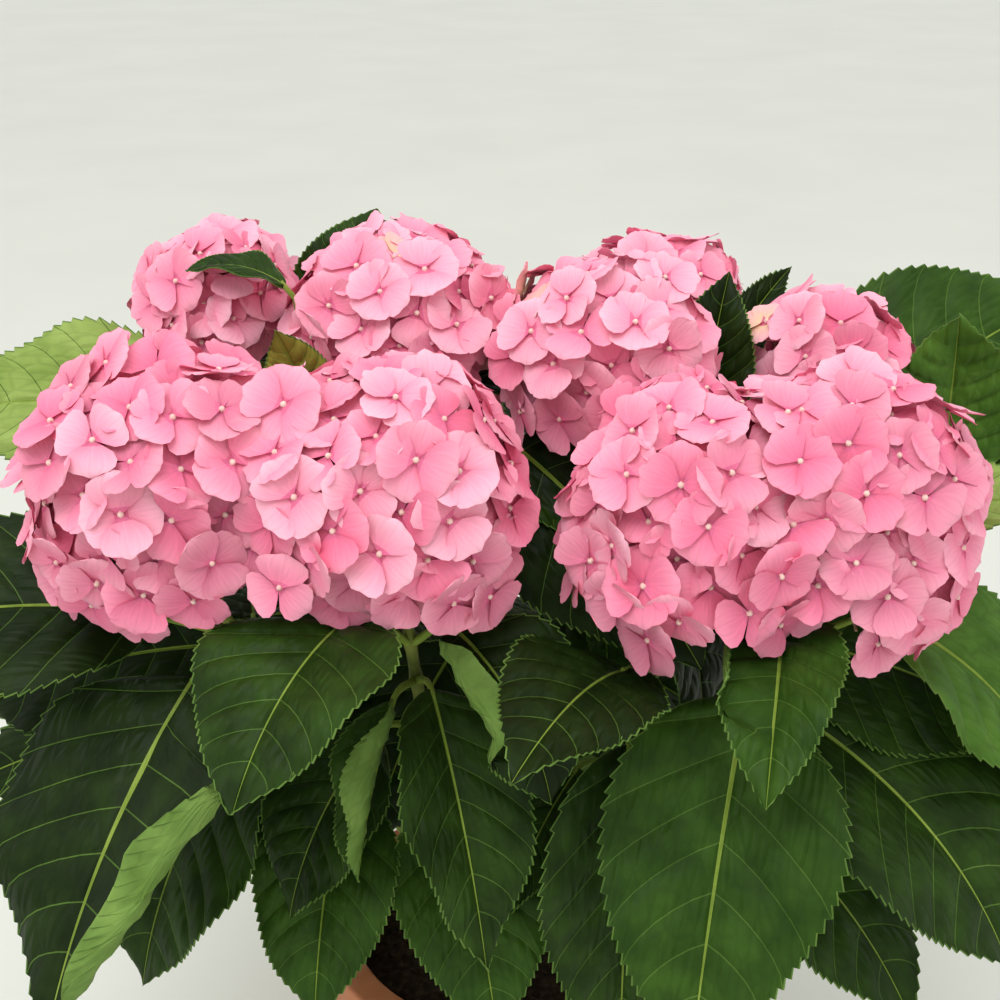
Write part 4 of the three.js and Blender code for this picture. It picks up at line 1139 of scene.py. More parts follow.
# %% [markdown]
# Crumbs by the hundred follow a rule, which is work for Geometry Nodes. Two helpers set up any tree: one
# makes it with named inputs, and the other gives a piece the tree, sets those inputs by their
# identifiers, and takes the finished mesh with every instance made real.

# %% Helpers for Geometry Nodes


def node_tree(name, inputs):
    """A Geometry Nodes tree with named inputs, its input and output nodes, and the inputs' identifiers."""
    tree = bpy.data.node_groups.new(name, "GeometryNodeTree")
    tree.interface.new_socket("Geometry", in_out="INPUT", socket_type="NodeSocketGeometry")
    tree.interface.new_socket("Geometry", in_out="OUTPUT", socket_type="NodeSocketGeometry")
    keys = {}
    for label, kind in inputs.items():
        keys[label] = tree.interface.new_socket(label, in_out="INPUT", socket_type=kind).identifier
    return tree, add_node(tree, "NodeGroupInput").outputs, add_node(tree, "NodeGroupOutput"), keys


def grown(piece, tree, keys, values):
    """The mesh that a tree makes of a piece, with every instance made real."""
    modifier = piece.modifiers.new(tree.name, "NODES")
    modifier.node_group = tree
    for label, value in values.items():
        modifier[keys[label]] = value
    bpy.context.view_layer.update()
    evaluated = piece.evaluated_get(bpy.context.evaluated_depsgraph_get())
    mesh = bpy.data.meshes.new_from_object(evaluated)
    piece.modifiers.clear()
    return mesh


print(len(bpy.data.node_groups), "node trees so far")

# %% [markdown]
# The crumbs are points scattered on the compost's upper faces, with a lump on each, turned and sized at
# random. The same could be done with particles, but those can't be made real in one tree.

# %% The crumbs
CRUMB_STEP_MM, CRUMB_LARGEST_MM, CRUMB_SMALLEST_MM, CRUMB_SEED = 7.0, 3.2, 0.4, 5
LUMP_RINGS, LUMP_SIDES, LUMP_FLATNESS, UPWARD, FULL_TURN = 4, 6, 0.7, 0.7, 6.28
heap = Heap()
lump = []
for i in range(1, LUMP_RINGS):
    down = math.pi * i / LUMP_RINGS
    lump.append(ring_round(UP * math.cos(down) * LUMP_FLATNESS, UP, math.sin(down), LUMP_SIDES))
heap.add_skin(skin(np.array(lump), UP * LUMP_FLATNESS, UP * -LUMP_FLATNESS), 0)
lump_object = bpy.data.objects.new("lump", heap.mesh("lump", [peat]))
lumps = bpy.data.collections.new("lumps")
lumps.objects.link(lump_object)

tree, given, out, keys = node_tree("crumbs on compost", {
    "Lump": "NodeSocketCollection", "Density": "NodeSocketFloat", "Smallest": "NodeSocketFloat",
    "Largest": "NodeSocketFloat", "Seed": "NodeSocketInt", "Finish": "NodeSocketMaterial",
})
face_normal = add_node(tree, "GeometryNodeInputNormal").outputs[0]
normal = add_node(tree, "ShaderNodeSeparateXYZ", links={"Vector": face_normal})
facing_up = add_node(tree, "FunctionNodeCompare", values={1: UPWARD}, links={0: normal.outputs["Z"]})
scattered = add_node(tree, "GeometryNodeDistributePointsOnFaces", links={
    "Mesh": given["Geometry"], "Selection": facing_up.outputs[0], "Density": given["Density"],
    "Seed": given["Seed"],
})
turns = add_node(tree, "FunctionNodeRandomValue", {"data_type": "FLOAT_VECTOR"}, {1: (FULL_TURN,) * 3},
                 {"Seed": given["Seed"]})
sizes = add_node(tree, "FunctionNodeRandomValue", {"data_type": "FLOAT"},
                 links={2: given["Smallest"], 3: given["Largest"]})
lump_choice = add_node(tree, "GeometryNodeCollectionInfo", links={"Collection": given["Lump"]})
on_points = add_node(tree, "GeometryNodeInstanceOnPoints", links={
    "Points": scattered.outputs["Points"], "Instance": lump_choice.outputs["Instances"],
    "Rotation": turns.outputs[0], "Scale": sizes.outputs[1],
})
real = add_node(tree, "GeometryNodeRealizeInstances", links={"Geometry": on_points.outputs["Instances"]})
finished = add_node(tree, "GeometryNodeSetMaterial",
                    links={"Geometry": real.outputs[0], "Material": given["Finish"]})
tree.links.new(finished.outputs[0], out.inputs[0])
crumbs = grown(compost_piece, tree, keys, {
    "Lump": lumps, "Density": METRE_MM ** 2 / CRUMB_STEP_MM ** 2, "Smallest": CRUMB_SMALLEST_MM,
    "Largest": CRUMB_LARGEST_MM, "Seed": CRUMB_SEED, "Finish": peat,
})
crumbs.shade_smooth()
place_piece("compost_crumbs", crumbs, ["compost"])
bpy.data.objects.remove(lump_object)
bpy.data.collections.remove(lumps)

# %% [markdown]
# The base and the canes are old wood. Their bark is ridged lengthwise, with flakes, and has knots where
# old pairs of leaves fell off. A displacement in the material would be lost on export, so each is a limb
# with many sides whose radius a stretched noise raises and lowers.

# %% A limb with bark
CANE_BARK = {"step_mm": 4.0, "sides": 20, "ridge": 0.16, "flare": 0.15, "knot_rise": 0.16}
BOUGH_BARK = {"step_mm": 5.0, "sides": 12, "ridge": 0.07}
STEM_BARK = {"step_mm": 6.0, "sides": 10, "ridge": 0.03, "knot_rise": 0.3}
CANE_KNOTS, KNOT_HALF_MM, FLARE_POWER, LENGTH_STEPS, FEWEST_RINGS = [0.3, 0.62, 0.9], 3.5, 4, 20, 3
# The ridges change this much round a limb, and run this far along it
RIDGES_ROUND, RIDGE_RUN_MM = 2.1, 16
COARSE_RIDGES, FINE_RIDGES, FINE_SHARE = 1.3, 3.1, 0.5


def bark_limb(curve, start, end, start_radius, end_radius, step_mm, sides, ridge, flare=0, knots=(),
              knot_rise=0):
    """A limb with ridged bark: ridge, flare and knot_rise are shares of its radius."""
    marks = [point_on(curve, i / LENGTH_STEPS) for i in range(LENGTH_STEPS + 1)]
    length = sum(np.linalg.norm(mark - further_on) for mark, further_on in zip(marks, marks[1:]))
    count = max(int(length * (end - start) / step_mm), FEWEST_RINGS)
    rings = []
    for i in range(count + 1):
        share = start + (end - start) * i / count
        middle, way = point_on(curve, share), heading_on(curve, share)
        radius = start_radius + (end_radius - start_radius) * i / count
        radius *= 1 + flare * (1 - i / count) ** FLARE_POWER
        if knots:
            nearest = min(abs(share - knot) for knot in knots) * length
            radius *= 1 + knot_rise * math.exp(-(nearest / KNOT_HALF_MM) ** 2)

        def relief(angles):
            rises = []
            for a in angles:
                x, y = math.cos(a) * RIDGES_ROUND, math.sin(a) * RIDGES_ROUND
                at = Vector((x, y, middle[2] / RIDGE_RUN_MM)) + Vector(curve[0])
                rises.append(noise.noise(at * COARSE_RIDGES) + FINE_SHARE * noise.noise(at * FINE_RIDGES))
            return ridge * np.array(rises)

        rings.append(ring_round(middle, way, radius, sides, relief))
    return skin(np.array(rings), point_on(curve, start), point_on(curve, end))


print("bark in rings", CANE_BARK["step_mm"], "mm apart, of", CANE_BARK["sides"], "points")

# %% [markdown]
# All canes rise from one knobbly crown, where the plant was cut back each year. It is a lobed stump:
# rings whose radius swells three and five times round, closed to a dome at the top.

# %% The woody crown
CROWN_RINGS, CROWN_SIDES, CROWN_SUNK_MM = 15, 40, 6
CROWN_TAPER, DOME_START, DOME_DEPTH, DOME_BEND = 0.7, 0.72, 0.28, 1.1
# Rise, number and turn of the lobes, and the roughness over them with how fast it changes round and up
CROWN_LOBES, CROWN_ROUGH, ROUGH_ROUND, ROUGH_UP = [(0.1, 3, 0), (0.05, 5, 1)], 0.1, 2, 2.2
angles = angles_round(CROWN_SIDES)
lobes = sum(rise * np.cos(number * angles + turn) for rise, number, turn in CROWN_LOBES)
heap = Heap()
base_foot = UP * (COMPOST_TOP - CROWN_SUNK_MM)
base_top = UP * (COMPOST_TOP + BASE_HEIGHT) + np.array([*BASE_LEAN, 0.0])
base_rings = []
for i in range(CROWN_RINGS):
    share = i / (CROWN_RINGS - 1)
    middle = base_foot + (base_top - base_foot) * share
    radius = BASE_FOOT_RADIUS + (BASE_TOP_RADIUS - BASE_FOOT_RADIUS) * share ** CROWN_TAPER
    radius *= math.cos(max(share - DOME_START, 0) / DOME_DEPTH * DOME_BEND)
    ways = [Vector((math.cos(a) * ROUGH_ROUND, math.sin(a) * ROUGH_ROUND, share * ROUGH_UP)) for a in angles]
    wide = radius * (1 + lobes + [CROWN_ROUGH * noise.noise(way) for way in ways])
    base_rings.append(middle + np.stack([np.cos(angles) * wide, np.sin(angles) * wide, 0 * wide], 1))
heap.add_skin(skin(np.array(base_rings), base_foot, base_top), 0)
place_heap("woody_crown", heap, [cane_bark], ["woody_base"])

# %% [markdown]
# The canes follow their own curves out of the crown, each a little flared at its foot. The boughs and the
# stems that carry the leaves are this year's, so they are green and nearly smooth, with a swelling at
# each pair of leaves.

# %% Canes, boughs and stems
heap = Heap()
for cane in CANES.values():
    heap.add_skin(bark_limb(cane_curve(cane), 0, 1, CANE_FOOT_RADIUS, CANE_TIP_RADIUS, knots=CANE_KNOTS,
                            **CANE_BARK), 0)
place_heap("woody_canes", heap, [cane_bark], ["cane_" + name for name in CANES])

heap, stems = Heap(), Heap()
for shoot in SHOOTS:
    curve, pairs = CURVES[shoot["name"]], shoot.get("places", PAIR_PLACES)
    heap.add_skin(bark_limb(curve, 0, BOUGH_END, BOUGH_FOOT_RADIUS, BOUGH_END_RADIUS, **BOUGH_BARK), 0)
    stems.add_skin(bark_limb(curve, BOUGH_END, 1, BOUGH_END_RADIUS, STEM_TOP_RADIUS, knots=pairs,
                             **STEM_BARK), 0)
place_heap("young_boughs", heap, [green_stem], ["bough_" + shoot["name"] for shoot in SHOOTS])
place_heap("green_stems", stems, [green_stem], ["leaves_" + shoot["name"] for shoot in SHOOTS])

# %% [markdown]
# A hydrangea leaf has coarse teeth that point forward, seven or so pairs of side veins that arch
# towards the tip, and tissue that swells up between them. Cut-out pictures of leaves would be quick, but
# flat and square at close range. So the blade is a grid whose rows follow the side veins: each vein is a
# narrow strip of its own, and the rows between the veins end in the tips and notches of the teeth.

# %% The rows of a leaf
VEIN_COUNT, VEIN_FIRST, VEIN_LAST, VEIN_SPREAD, VEIN_NARROWING = 7, 0.05, 0.79, 1.08, 1.1
VEIN_EASE, VEIN_HALF, ROW_SWELL_POWER = 0.2, 0.0022, 0.75
ROWS_BELOW_VEINS, ROWS_ABOVE_VEINS, BLADE_START, BLADE_END = 7, [9, 7, 5, 5, 5, 3, 5], 0.0005, 0.997
MAP_END = 1.15


def blade_rows():
    """Rows from root to tip: place on the midrib, swell between veins, tooth and vein-strip flag."""
    steps = (np.arange(VEIN_COUNT) / (VEIN_COUNT - 1)) ** VEIN_SPREAD
    veins = list(VEIN_FIRST + (VEIN_LAST - VEIN_FIRST) * steps)
    rows, low = [(BLADE_START, 0, 0, 0)], BLADE_START
    for high, count in zip(veins + [BLADE_END], [ROWS_BELOW_VEINS] + ROWS_ABOVE_VEINS):
        for i in range(1, count + 1):
            part = i / (count + 1)
            swell = math.sin(math.pi * part) ** ROW_SWELL_POWER
            rows.append((low + (high - low) * part, swell, 1 - 2 * (i % 2), 0))
        if high == BLADE_END:
            rows.append((high, 0, 0, 0))
        else:
            half = VEIN_HALF / (1 + VEIN_NARROWING * math.exp(-high / VEIN_EASE))
            rows += [(high - half, 0, 1, 1), (high + half, 0, 1, 0)]
        low = high
    return np.array(rows)


def rungs_along(rows):
    """How many intervals between veins lie below each row, for the leaf's own map."""
    edges = np.concatenate([[0], rows[rows[:, 3] == 1, 0], [MAP_END]])
    return np.interp(rows[:, 0], edges, np.arange(len(edges)))


ROWS = blade_rows()
print("a leaf has", len(ROWS), "rows")

# %% [markdown]
# The columns run from the midrib to the rim on both sides. The grid, its faces and their materials are
# the same for every leaf, so they are worked out once. The last faces round the edge join the top to the
# underside, so that each leaf is a thin closed sheet.

# %% The grid of a leaf
HALF_COLUMNS, VEIN_ARCH, ARCH_POWER, SWELL_POWER = [0.16, 0.34, 0.52, 0.70, 0.87], 0.45, 1.15, 0.6
TOOTH_LEAN, LEAN_UNTIL, LAST_SHARE, RUNGS_BETWEEN_VEINS = 0.008, 0.97, 0.9985, 1.0
# The corners of a face in the order that turns it over
TURNED_OVER = [0, 3, 2, 1]
# Where the teeth start and how soon they are full, then where they end and how soon they fade
TEETH_WINDOW = 0.06, 0.1, 0.985, 0.06


def grid_faces(grid):
    """The four-cornered faces between the rows and columns of a grid of points."""
    return np.stack([grid[:-1, :-1], grid[1:, :-1], grid[1:, 1:], grid[:-1, 1:]], 2)


def window(shares, first, rise, last, fall):
    """Rises from 0 to 1 behind a first share, and falls back to 0 before a last one."""
    return np.clip((shares - first) / rise, 0, 1) * np.clip((last - shares) / fall, 0, 1)


RUN = ROWS[:, 0]
HALF = np.array([0.0] + HALF_COLUMNS + [1.0, 1.0])
COLUMN = np.concatenate([-HALF[::-1], [0.0], HALF])
BAND = np.zeros(len(COLUMN))
BAND[[1, -2]] = 1
RIB = np.zeros(len(COLUMN))
RIB[[len(HALF) - 1, len(HALF) + 1]] = [-1, 1]
OUT = abs(COLUMN)
ARCH = VEIN_ARCH * ((1 - RUN) * (1 - np.exp(-RUN / VEIN_EASE)))
SHARES = RUN[:, None] + ARCH[:, None] * OUT ** ARCH_POWER
TEETH = ROWS[:, 2][:, None] * (OUT == 1)
SHARES = np.minimum(SHARES + TOOTH_LEAN * TEETH * (SHARES < LEAN_UNTIL), LAST_SHARE)
TEETH = TEETH * window(SHARES, *TEETH_WINDOW)
SWELL = ROWS[:, 1][:, None] * (4 * OUT * (1 - OUT)) ** SWELL_POWER
MAP_ALONG = np.broadcast_to(rungs_along(ROWS)[:, None] * RUNGS_BETWEEN_VEINS, SHARES.shape)
ON_VEIN = (ROWS[:, 2] == 1) & (ROWS[:, 1] == 0)
GRID = np.arange(len(ROWS) * len(COLUMN)).reshape(len(ROWS), len(COLUMN))
QUADS = grid_faces(GRID)
LOOP = np.concatenate([GRID[:-1, 0], GRID[-1, :-1], GRID[:0:-1, -1], GRID[0, :0:-1]])
TOP_SLOTS = np.zeros(QUADS.shape[:2], int)
TOP_SLOTS[ROWS[:-1, 3] == 1, 1:-1] = VEIN_SLOT
TOP_SLOTS[:, [0, -1]] = RIM_SLOT
TOP_SLOTS[:, [len(HALF) - 1, len(HALF)]] = MIDRIB_SLOT
UNDER_SLOTS = np.where(TOP_SLOTS == MIDRIB_SLOT, MIDRIB_SLOT, UNDER_SLOT)
print("a leaf has", 2 * QUADS.shape[0] * QUADS.shape[1] + len(LOOP), "faces")

# %% [markdown]
# Four leaves that show in the photograph have an edge that rolls over and shows its pale underside: a
# strip of the blade bent round a thin cylinder. Bending the points where they happen to lie would leave a
# few wide faces across the fold. So the columns move closer together along the fold first, and then
# every point past the fold line is carried round the cylinder and beyond it.

# %% Rolled edges
ROLL_RADIUS_MM, ROLL_ANGLE, ROLL_COLUMNS = 3.0, math.radians(155), np.array([0, 0.34, 0.87, 1])
ROLL_RISE, ROLL_FALL, ROLL_PAST_MOST, GATHER_SPEED = 0.28, 0.15, 0.99, 3


def roll_edges(leaf, side, wide, reach, lift):
    """Rolls over the edges that have a roll, and says how far each point is bent."""
    bend = np.zeros(SHARES.shape)
    for way, line, first, last in leaf.get("rolls", []):
        part = window(SHARES, first, ROLL_RISE, last, ROLL_FALL) * (side == way)
        fold_at = 1 - (1 - line) * part
        past = np.minimum(fold_at + ROLL_RADIUS_MM * ROLL_ANGLE / wide, ROLL_PAST_MOST)
        columns = np.stack([0 * past, fold_at, past, 0 * past + 1])
        ratio = reach / wide
        at = np.searchsorted(ROLL_COLUMNS, ratio, side="right").clip(1, len(ROLL_COLUMNS) - 1)
        low, high = (np.take_along_axis(columns, (at - k)[None], 0)[0] for k in (1, 0))
        steps = (ratio - ROLL_COLUMNS[at - 1]) / (ROLL_COLUMNS[at] - ROLL_COLUMNS[at - 1])
        gathered = np.minimum(part * GATHER_SPEED, 1)
        reach = wide * (ratio + (low + steps * (high - low) - ratio) * gathered)
        over = np.maximum(reach - wide * fold_at, 0) * (part > 0)
        bent = np.minimum(over / ROLL_RADIUS_MM, ROLL_ANGLE)
        beyond = over - bent * ROLL_RADIUS_MM
        reach = reach - over + ROLL_RADIUS_MM * np.sin(bent) + beyond * np.cos(bent)
        lift = lift + ROLL_RADIUS_MM * (1 - np.cos(bent)) + beyond * np.sin(bent)
        bend = bend + bent
    return reach, lift, bend


print("an edge rolls round a radius of", ROLL_RADIUS_MM, "mm")

# %% [markdown]
# A blade is bent by its leaf's shape, then quilted, waved along its edges and rolled where it has a roll.
# A modifier could bend a flat leaf, but only this way do the veins, teeth and quilting come out at their
# true size on a leaf of any length.

# %% The fine leaf
QUILT_MM, QUILT_FULL_MM, QUILT_LEAST, BLADE_MM, RIM_MM, RIM_MOST = 2.2, 30, 0.2, 0.55, 0.8, 0.3
TIP_NARROWING, TIP_FROM, TIP_RUN, TOOTH_DEPTH_SHARE, BLADE_SAG = 0.25, 0.84, 0.16, 0.016, 0.05
MIDRIB_HALF_MM, MIDRIB_TAPER, USUAL_LENGTH_MM, MIDRIB_FADE = 1.0, 1.15, 150, 1.1
# Depth of the grooves above, and height of the ribs below, along the midrib and the side veins
MIDRIB_DEPTH_MM, VEIN_DEPTH_MM, MIDRIB_RISE_MM, VEIN_RISE_MM = 0.7, 0.25, 1.5, 0.5
WAVE_SHARE, FEWEST_WAVES, RIPPLE_MM, RIPPLE_RUN, RIPPLE_SIDE_TURN, RIPPLE_TURN = 0.026, 1.6, 0.5, 19, 2, 6
RUNG_MM, MAP_MIDDLE = 6.6, 40


def fine_leaf(leaf, draw):
    """Points of one fine leaf blade, upper side first, and their places on its own map."""
    _, across, square = leaf_frame(leaf, SHARES)
    wide = half_width(leaf, SHARES) * (1 - TIP_NARROWING * np.clip((SHARES - TIP_FROM) / TIP_RUN, 0, 1))
    wide = wide + TEETH * leaf["length"] * TOOTH_DEPTH_SHARE * 0.5
    rib = MIDRIB_HALF_MM * (MIDRIB_TAPER - SHARES) * leaf["length"] / USUAL_LENGTH_MM
    rib = np.minimum(rib, 0.5 * wide)
    reach = rib * (OUT == 0) * abs(RIB) + (OUT > 0) * (rib + (wide - rib) * OUT)
    reach = np.maximum(reach - BAND * np.minimum(RIM_MM, RIM_MOST * wide), 0)
    side = np.sign(COLUMN) + RIB
    lift = reach * math.sin(leaf["fold"]) - BLADE_SAG * reach * OUT
    lift = lift + QUILT_MM * SWELL * np.clip(wide / QUILT_FULL_MM, QUILT_LEAST, 1)
    ripple = SHARES * RIPPLE_RUN + side * RIPPLE_SIDE_TURN + next(draw) * RIPPLE_TURN
    lift = lift + RIPPLE_MM * np.sin(ripple) * OUT
    for way in (-1, 1):
        phase, waves = next(draw), FEWEST_WAVES + next(draw)
        wave = leaf["length"] * WAVE_SHARE * np.sin(2 * math.pi * (SHARES * waves + phase))
        lift = lift + (side == way) * wave * OUT ** 2
    flat = np.stack([side * reach / RUNG_MM + MAP_MIDDLE, MAP_ALONG], 2).reshape(-1, 2)
    reach, lift, bend = roll_edges(leaf, side, wide, reach, lift)
    centre, fade = (OUT == 0) & (RIB == 0), MIDRIB_FADE - SHARES
    vein = ON_VEIN[:, None] * (OUT > 0)
    groove = MIDRIB_DEPTH_MM * fade * centre + VEIN_DEPTH_MM * vein * (OUT < 1)
    ribs = BLADE_MM + MIDRIB_RISE_MM * fade * centre + VEIN_RISE_MM * vein * (1 - OUT)
    middle = midrib(leaf, SHARES) + across * (side * reach * math.cos(leaf["fold"]))[..., None]
    top = middle + square * (lift - groove)[..., None]
    under = middle + square * (lift - ribs * np.cos(bend))[..., None]
    under = under + across * (side * ribs * np.sin(bend))[..., None]
    return np.concatenate([top.reshape(-1, 3), under.reshape(-1, 3)]), np.concatenate([flat, flat])


print("a blade's first point is at", fine_leaf(LEAVES[0], numbers_from(1))[0][0].round(1), "mm")

# %% [markdown]
# Now every leaf is put on its stem: the blade, and a stalk that leaves the stem and runs on into the
# midrib. The leaves of a few shoots share one piece.

# %% The leaves
DARKEST_UP_TO, DARK_UP_TO, LEAF_SEED = 0.3, 0.72, 90
STALK_KNEE, STALK_EASE, INTO_BLADE_MM = 0.4, 0.3, 3
FINE_STALK = {"start_radius": 2.4, "end_radius": 1.5, "segments": 7, "sides": 8}


def leaf_shade(leaf, draw):
    """The green of one leaf: its own where it has one, and else mostly a dark one."""
    pick = next(draw)
    return leaf.get("shade", 0 if pick < DARKEST_UP_TO else 1 if pick < DARK_UP_TO else 2)


def add_leaf(heap, leaf, draw):
    """Adds a leaf's blade, closed along its rim, and its stalk."""
    shade = leaf_shade(leaf, draw)
    points, flat = fine_leaf(leaf, draw)
    under = GRID.size
    slots = np.where(TOP_SLOTS == 0, shade, TOP_SLOTS)
    rim = np.stack([LOOP, LOOP + under, np.roll(LOOP, -1) + under, np.roll(LOOP, -1)], 1)
    heap.add(points, [
        (QUADS.reshape(-1, 4), slots.ravel()),
        (QUADS[..., TURNED_OVER].reshape(-1, 4) + under, UNDER_SLOTS.ravel()),
        (rim, RIM_SLOT),
    ], flat)
    along = leaf_frame(leaf, 0)[0]
    reach = np.linalg.norm(leaf["root"] - leaf["stem"])
    way = (leaf["root"] - leaf["stem"]) / reach
    curve = [leaf["stem"], leaf["stem"] + way * reach * STALK_KNEE,
             leaf["root"] - along * reach * STALK_EASE, leaf["root"] + along * INTO_BLADE_MM]
    heap.add_skin(limb_skin(curve, 0, 1, **FINE_STALK), MIDRIB_SLOT)


GROUPS = {
    "left": ["left_front_outer", "left_front_inner", "left_middle_outer", "left_back_outer"],
    "middle": ["left_middle_inner", "right_middle_inner", "right_back_inner"],
    "right": ["right_middle_outer", "right_front_inner", "right_front_outer"],
    "rear": ["rear_left", "rear_middle", "rear_right"],
}
leaf_draw = numbers_from(SEED_STEP * LEAF_SEED)
for group, names in GROUPS.items():
    heap = Heap()
    for leaf in (each for each in LEAVES if each["shoot"] in names):
        add_leaf(heap, leaf, leaf_draw)
    place_heap(f"leaves_{group}_fine", heap, LEAF_MATERIALS, ["leaves_" + name for name in names])

# %% [markdown]
# A mophead's florets are nearly all sterile: four broad sepals, rounded and a little cupped, that
# overlap each other like a pinwheel round a bead of an eye. One floret copied a thousand times would
# look stamped out, and a thousand different ones would be slow. So there are seven kinds, with three,
# four or five sepals of differing widths. Each sepal is a thin closed lens of a few dozen faces, with
# its own map from its foot to its edge.

# %% The kinds of floret
SEPAL_REACH_MM, SEPAL_MM = 18.2, 0.5
SEPAL_ROWS = [0.0, 0.12, 0.32, 0.57, 0.79, 0.93, 1.0]
SEPAL_COLUMNS = [-1.0, -0.5, 0.0, 0.5, 1.0]
SEPAL_SLOT, HEART_SLOT, EYE_SLOT = range(3)
SEPAL_WIDTHS = [0.14, 0.4, 0.82, 1.0, 0.93, 0.68, 0.3]
SEPAL_COUNTS, KIND_SEED_START = [4, 4, 4, 4, 4, 3, 5], 60
SEPAL_ROUNDING, SEPAL_HOLLOW, SEPAL_RIPPLE, RIPPLES, CUP_POWER, CURL_POWER = 0.10, 0.05, 0.02, 5, 1.5, 4
# The least value of each measure, and how far it can go above that
SEPAL_LENGTHS, SEPAL_BREADTHS, SEPAL_CURLS, SEPAL_LEANS = (0.92, 0.08), (0.9, 0.2), (0.1, 0.16), (7, 5)
BROAD_SEPAL, NARROW_SEPAL, CUP, UPPER_CUP, CUP_SPREAD = 1.34, 1.1, 0.16, 0.12, 0.1
SEPAL_OUT_MM, UPPER_SEPAL_MM, SEPAL_WANDER = 0.9, 0.9, 0.12
# Height and radius of the eye's rings, and the heights of its two ends
EYE_RINGS, EYE_FOOT, EYE_TOP, EYE_SIDES = ((-0.4, 1.3), (0.9, 1.7), (2.0, 1.0)), -0.6, 2.3, 6


def sepal_points(length, width, cup, roll, curl):
    """The grid of one sepal's upper side, lying along +X."""
    rows, columns = np.array(SEPAL_ROWS)[:, None], np.array(SEPAL_COLUMNS)[None, :]
    broad = np.array(SEPAL_WIDTHS)[:, None] * width / 2
    x = length * (rows - SEPAL_ROUNDING * columns ** 2 * rows ** 3)
    y = broad * columns
    z = length * (cup * rows ** CUP_POWER - curl * rows ** CURL_POWER) + y * math.sin(roll) * rows
    z = z + SEPAL_HOLLOW * width * columns ** 2 * (1 - rows)
    z = z + SEPAL_RIPPLE * width * np.cos(columns * RIPPLES) * rows
    return np.stack([x, y, z + 0 * x], 2)


def floret_mesh(name, sepals, seed):
    """A floret that faces +Z, with its eye at the origin."""
    draw = numbers_from(seed)
    heap = Heap()
    rows, columns = len(SEPAL_ROWS), len(SEPAL_COLUMNS)
    grid = np.arange(rows * columns).reshape(rows, columns)
    quads = grid_faces(grid)
    slots = np.full(quads.shape[:2], SEPAL_SLOT)
    slots[0] = HEART_SLOT
    inside = grid[1:-1, 1:-1].ravel()
    below = grid.copy()
    below[1:-1, 1:-1] = grid.size + np.arange(inside.size).reshape(rows - 2, columns - 2)
    under = grid_faces(below)[..., TURNED_OVER]
    shares = np.stack(np.meshgrid(np.array(SEPAL_COLUMNS) * 0.5 + 0.5, SEPAL_ROWS), 2).reshape(-1, 2)
    shares = np.concatenate([shares, shares[inside]])
    for i in range(sepals):
        # Every second sepal lies over its neighbours
        upper = i % 2
        length = SEPAL_REACH_MM * drawn(draw, *SEPAL_LENGTHS)
        width = SEPAL_REACH_MM * (BROAD_SEPAL if sepals < 5 else NARROW_SEPAL) * drawn(draw, *SEPAL_BREADTHS)
        cup = drawn(draw, CUP + UPPER_CUP * upper, CUP_SPREAD)
        curl, lean = drawn(draw, *SEPAL_CURLS), math.radians(drawn(draw, *SEPAL_LEANS))
        top = sepal_points(length, width, cup, lean, curl).reshape(-1, 3)
        top[:, 0] += SEPAL_OUT_MM
        top[:, 2] += UPPER_SEPAL_MM * upper
        points = np.concatenate([top, top[inside] - [0, 0, SEPAL_MM]])
        angle = 2 * math.pi * (i + either_way(draw, SEPAL_WANDER)) / sepals
        cosine, sine = math.cos(angle), math.sin(angle)
        turn = np.array([[cosine, sine, 0], [-sine, cosine, 0], [0, 0, 1]])
        faces = [(quads.reshape(-1, 4), slots.ravel()), (under.reshape(-1, 4), SEPAL_SLOT)]
        heap.add(points @ turn, faces, shares)
    bead = np.array([ring_round(UP * height, UP, radius, EYE_SIDES) for height, radius in EYE_RINGS])
    heap.add_skin(skin(bead, UP * EYE_FOOT, UP * EYE_TOP), EYE_SLOT)
    return heap.mesh(name, [SEPALS[0], sepal_heart, eye_bead])


kinds = bpy.data.collections.new("floret kinds")
for i, sepals in enumerate(SEPAL_COUNTS):
    mesh = floret_mesh(f"floret kind {i}", sepals, SEED_STEP * (KIND_SEED_START + i))
    kinds.objects.link(bpy.data.objects.new(f"floret kind {i}", mesh))
print("a floret has", triangles(mesh), "triangles at most")

# %% [markdown]
# The florets could be scattered on the bloom at random, but then some would clump and others leave holes.
# A golden-angle spiral, as in a sunflower, spreads them evenly, and each is then turned, tilted and sunk
# a little by chance. A second, sparser layer of deeper pink ones fills the bloom's inside as painted shade.
# Where a leaf lies in the way a floret sinks back. Where two blooms press together neither goes past the
# middle between them, and the harder they press, the further the florets there are pushed out of the valley.

# %% What florets keep clear of
FLORET_CLEAR_MM, SUNK_FLORET_CLEAR_MM, NEARBY_MM = 7, 5, 20
# Blooms press on each other from this gap on, and press hardest from this overlap on
PRESSED_MM, DEEPLY_PRESSED_MM = 4, 34
leaf_trees = [Obstacle(plain_leaf(leaf)).tree for leaf in LEAVES]
leaf_middles = np.array([midrib(leaf, 0.5) for leaf in LEAVES])
leaf_reaches = np.array([leaf["length"] * 0.5 + leaf["stalk"] for leaf in LEAVES])


def clear_of_leaves(place, radius):
    """Whether a floret at a place keeps clear of the leaves round it."""
    near = np.linalg.norm(leaf_middles - place, axis=1) < leaf_reaches + NEARBY_MM
    for i in np.nonzero(near)[0]:
        if leaf_trees[i].find_nearest(Vector(place), max(radius, LEAVES[i].get("open", 0)))[0] is not None:
            return False
    return True


